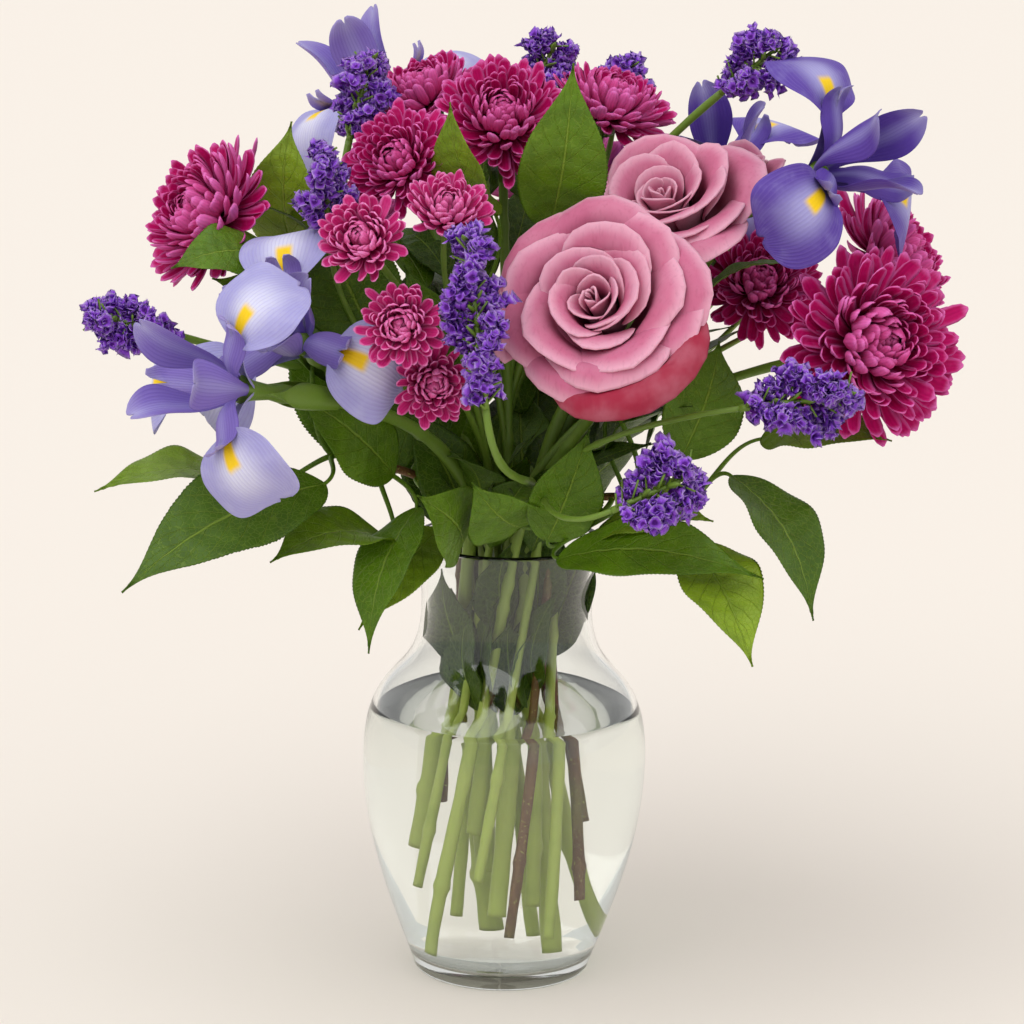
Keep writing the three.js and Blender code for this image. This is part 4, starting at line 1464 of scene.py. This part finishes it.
class BOUQUET_OT_roses(bpy.types.Operator):
    """Makes the roses and their stems"""

    bl_idname = "bouquet.roses"
    bl_label = "Roses"

    def execute(self, context):
        sizes = context.scene.bouquet_rose
        finish = rose_finish(sizes)
        rng = np.random.default_rng(12)
        poses = []
        for index, (open_by, share_of_petals, guards) in enumerate(ROSES, 1):
            pose = make_rose(
                f"rose_{index}_petals", f"rose_{index}_bloom", finish, sizes, 20 + index, open_by,
                share_of_petals, guards)
            stem_piece(f"rose_{index}_stalk", f"rose_{index}_stem", [bloom_end(pose)],
                       green(context), "woody_stem", rng, 4)
            poses.append(pose)
        make_hips("rose_hips", poses, green(context))
        return {"FINISHED"}


class BOUQUET_OT_mums(bpy.types.Operator):
    """Makes the large and the button chrysanthemums and their forked stems"""

    bl_idname = "bouquet.mums"
    bl_label = "Chrysanthemums"

    def execute(self, context):
        sizes = context.scene.bouquet_mum
        large = petal_finish("mum_petal", sizes.light, sizes.middle, sizes.deep)
        small = petal_finish("button_petal", sizes.button_light, sizes.button_middle, sizes.button_deep)
        rng = np.random.default_rng(13)
        cups = []
        seed = 100
        for spray in ("mum_top", "mum_right", "mum_left", "button"):
            button = spray == "button"
            poses = []
            for node in heads_of(spray):
                seed += 1
                pose = make_mum(
                    f"{node}_petals", node, small if button else large,
                    "button_petal" if button else "mum_petal",
                    sizes.button_petals if button else sizes.petals, sizes.petal, seed, button)
                poses.append(pose)
            stem_piece(f"{spray}_stalk", f"{spray}_stem", [bloom_end(pose) for pose in poses],
                       green(context), "green_stem", rng, 3)
            cups += poses
        make_calyx("mum_cups", cups, green(context))
        return {"FINISHED"}


class BOUQUET_OT_statice(bpy.types.Operator):
    """Makes the statice spikes and their stems"""

    bl_idname = "bouquet.statice"
    bl_label = "Statice"

    def execute(self, context):
        sizes = context.scene.bouquet_statice
        finish = statice_finish(sizes)
        rng = np.random.default_rng(14)
        for order, spray in enumerate(("left", "crown", "front", "right")):
            heads, ends = [], []
            nodes = heads_of(f"statice_{spray}")
            for node in nodes:
                pose = Pose(node)
                heads.append((pose, pose.length, pose.radius))
                ends.append(bloom_end(pose))
            make_florets(f"statice_{spray}_florets", heads, finish, sizes, 200 + order, nodes)
            make_spike_green(f"statice_{spray}_bracts", heads, green(context), 210 + order)
            stem_piece(f"statice_{spray}_stalk", f"statice_{spray}_stem", ends, green(context),
                       "green_stem", rng, 3)
        return {"FINISHED"}


class BOUQUET_OT_salal(bpy.types.Operator):
    """Makes the salal branches and their leaves"""

    bl_idname = "bouquet.salal"
    bl_label = "Salal"

    def execute(self, context):
        sizes = context.scene.bouquet_green
        finish = leaf_finish(sizes)
        rng = np.random.default_rng(15)
        routes = []
        for index in range(1, len(nodes_like("salal_", "_stem")) + 1):
            node = f"salal_{index}_stem"
            points = node_points(node)
            far = np.argsort(-np.linalg.norm(points - [0, 0, MOUTH_HEIGHT * 0.5], axis=1))[:6]
            end = points[far].mean(axis=0)
            foot, _, _ = stem_line(node)
            normal = np.linalg.svd(points[far] - end)[2][2]
            axis = normal if normal @ (end - foot) > 0 else -normal
            route = stem_piece(f"salal_{index}_branch", node, [(end, axis)], bark(context),
                               "woody_stem", rng, 5)
            routes.append(route[route[:, 2] > MOUTH_HEIGHT])
        branches = np.concatenate(routes)
        for index in range(1, len(nodes_like("leaf_")) + 1):
            root, tip, upper, width = leaf_pose(f"leaf_{index}")
            blade = leaf_shells(root, tip, upper, width, sizes, rng)
            stalk = petiole(root, unit(tip - root), branches, sizes)
            parts = [(*blade, rng.uniform(0.1, 0.8)), stalk]
            joined(f"salal_leaf_{index}", parts, finish, "leaf", f"leaf_{index}")
        self.loose_leaves(sizes, finish, branches, rng)
        return {"FINISHED"}

    def loose_leaves(self, sizes, finish, branches, rng):
        """The leaves between the named ones, and the crowd of leaves in the middle, dark as painted shade."""
        middle = np.array([0.0, 0.0, MOUTH_HEIGHT])
        for index, (root, tip, upper, width, tone_and_shade) in enumerate(LOOSE_LEAVES, 1):
            root, tip = middle + np.array(root) * MM, middle + np.array(tip) * MM
            along = unit(tip - root)
            upper = np.array(upper, dtype=float)
            upper = unit(upper - along * (upper @ along))
            blade = leaf_shells(root, tip, upper, width * MM, sizes, rng)
            stalk = petiole(root, along, branches, sizes)
            joined(f"loose_leaf_{index}", [(*blade, tone_and_shade), stalk], finish, "leaf")
        parts = []
        for low, high, count, first_angle, sweep, tilt in LEAF_CROWDS:
            k = np.arange(count)
            angle = np.radians(first_angle + sweep * ((k * 0.618) % 1.0))
            out = rng.uniform(*low[:2], count) * MM
            root = middle + round_about(out, rng.uniform(*low[2:], count) * MM, angle)
            rise = np.radians(rng.uniform(*tilt, count))
            reach = rng.uniform(*high, count) * MM
            way = round_about(np.cos(rise), np.sin(rise), angle + rng.normal(0, 0.35, count))
            for start, direction, size in zip(root, way, reach):
                side = unit(np.cross(direction, UP) + rng.normal(0, 0.35, 3))
                upper = unit(np.cross(side, direction))
                blade = leaf_shells(start, start + direction * size, upper, size * rng.uniform(0.42, 0.56),
                                    sizes, rng, steps=30)
                # Dark tones: painted shade in the middle of the bouquet.
                parts.append((*blade, rng.uniform(0.62, 1.0)))
        joined("old_leaves", parts, finish, "leaf")


class BOUQUET_OT_stage(bpy.types.Operator):
    """Lays the floor, hangs the lights and stands the camera"""

    bl_idname = "bouquet.stage"
    bl_label = "Floor, light and camera"

    def execute(self, context):
        sizes = context.scene.bouquet_stage
        rings = np.concatenate([[0.0], 0.3 * 1.35 ** np.arange(16)])
        rings = rings[rings < sizes.floor_radius]
        angle = np.arange(FLOOR_SIDES) * 2 * math.pi / FLOOR_SIDES
        points = round_about(rings[1:, None], 0.0, angle[None, :]).reshape(-1, 3)
        points = np.concatenate([points, [[0, 0, 0.0]]])
        count = len(rings) - 1
        j = np.arange(FLOOR_SIDES)
        hub = np.full(FLOOR_SIDES, len(points) - 1)
        centre = np.stack([j, (j + 1) % FLOOR_SIDES, hub], axis=-1)
        floor = build("floor", points, [ring_faces(1, count, FLOOR_SIDES)[:, ::-1], centre])
        finish = Finish("floor")
        floor.data.materials.append(finish.surface(Base_Color=(*sizes.floor, 1.0), Roughness=0.9))

        world = context.scene.world or bpy.data.worlds.new("studio")
        context.scene.world = world
        world.use_nodes = True
        sky = world.node_tree.nodes["Background"]
        sky.inputs["Color"].default_value = (1.0, 0.99, 0.975, 1.0)
        sky.inputs["Strength"].default_value = sizes.around
        for name, aim, width, power in (
                ("key", (0.35, 0.50, -0.90), 62, sizes.key), ("fill", (-0.7, 0.6, -0.5), 80, sizes.fill)):
            light = bpy.data.lights.new(name, "SUN")
            light.angle = math.radians(width)
            light.energy = power
            lamp = bpy.data.objects.new(name, light)
            lamp.rotation_euler = Vector(aim).to_track_quat("-Z", "Y").to_euler()
            context.collection.objects.link(lamp)

        camera = bpy.data.cameras.new("camera")
        camera.lens = sizes.lens
        camera.sensor_width = 36.0
        camera.clip_end = 100.0
        holder = bpy.data.objects.new("camera", camera)
        middle = np.array(sizes.middle)
        back = np.array([0, -math.cos(sizes.elevation), math.sin(sizes.elevation)])
        holder.location = middle + back * sizes.distance
        tilt = math.pi / 2 - sizes.elevation
        turn = Euler((tilt, 0, 0)).to_matrix() @ Matrix.Rotation(sizes.roll, 3, "Z")
        holder.rotation_euler = turn.to_euler()
        context.collection.objects.link(holder)
        context.scene.camera = holder
        context.scene.view_settings.view_transform = "Standard"
        return {"FINISHED"}


STEPS = (BOUQUET_OT_vase, BOUQUET_OT_irises, BOUQUET_OT_roses, BOUQUET_OT_mums, BOUQUET_OT_statice,
         BOUQUET_OT_salal, BOUQUET_OT_stage)


class BOUQUET_PT_panel(bpy.types.Panel):
    """The bouquet's steps and sizes"""

    bl_idname = "BOUQUET_PT_panel"
    bl_label = "Bouquet"
    bl_space_type = "VIEW_3D"
    bl_region_type = "UI"
    bl_category = "Bouquet"

    def draw(self, context):
        for step in STEPS:
            self.layout.operator(step.bl_idname)
        for name in GROUPS:
            group = getattr(context.scene, name)
            box = self.layout.box()
            for key in group.__annotations__:
                box.prop(group, key)


GROUPS = {
    "bouquet_vase": VaseSizes, "bouquet_iris": IrisSizes, "bouquet_rose": RoseSizes,
    "bouquet_mum": MumSizes, "bouquet_statice": StaticeSizes, "bouquet_green": GreenSizes,
    "bouquet_stage": StageSizes,
}


def register():
    """Adds the classes and hangs the sizes on the scene."""
    for cls in (*GROUPS.values(), *STEPS, BOUQUET_PT_panel):
        bpy.utils.register_class(cls)
    for name, group in GROUPS.items():
        setattr(bpy.types.Scene, name, PointerProperty(type=group))


def unregister():
    """Takes the sizes and the classes away."""
    for name in GROUPS:
        delattr(bpy.types.Scene, name)
    for cls in (BOUQUET_PT_panel, *reversed(STEPS), *reversed(GROUPS.values())):
        bpy.utils.unregister_class(cls)


def main():
    """Makes the whole bouquet."""
    register()
    for step in STEPS:
        group, name = step.bl_idname.split(".")
        getattr(getattr(bpy.ops, group), name)()
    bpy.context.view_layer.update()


if __name__ == "__main__":
    main()
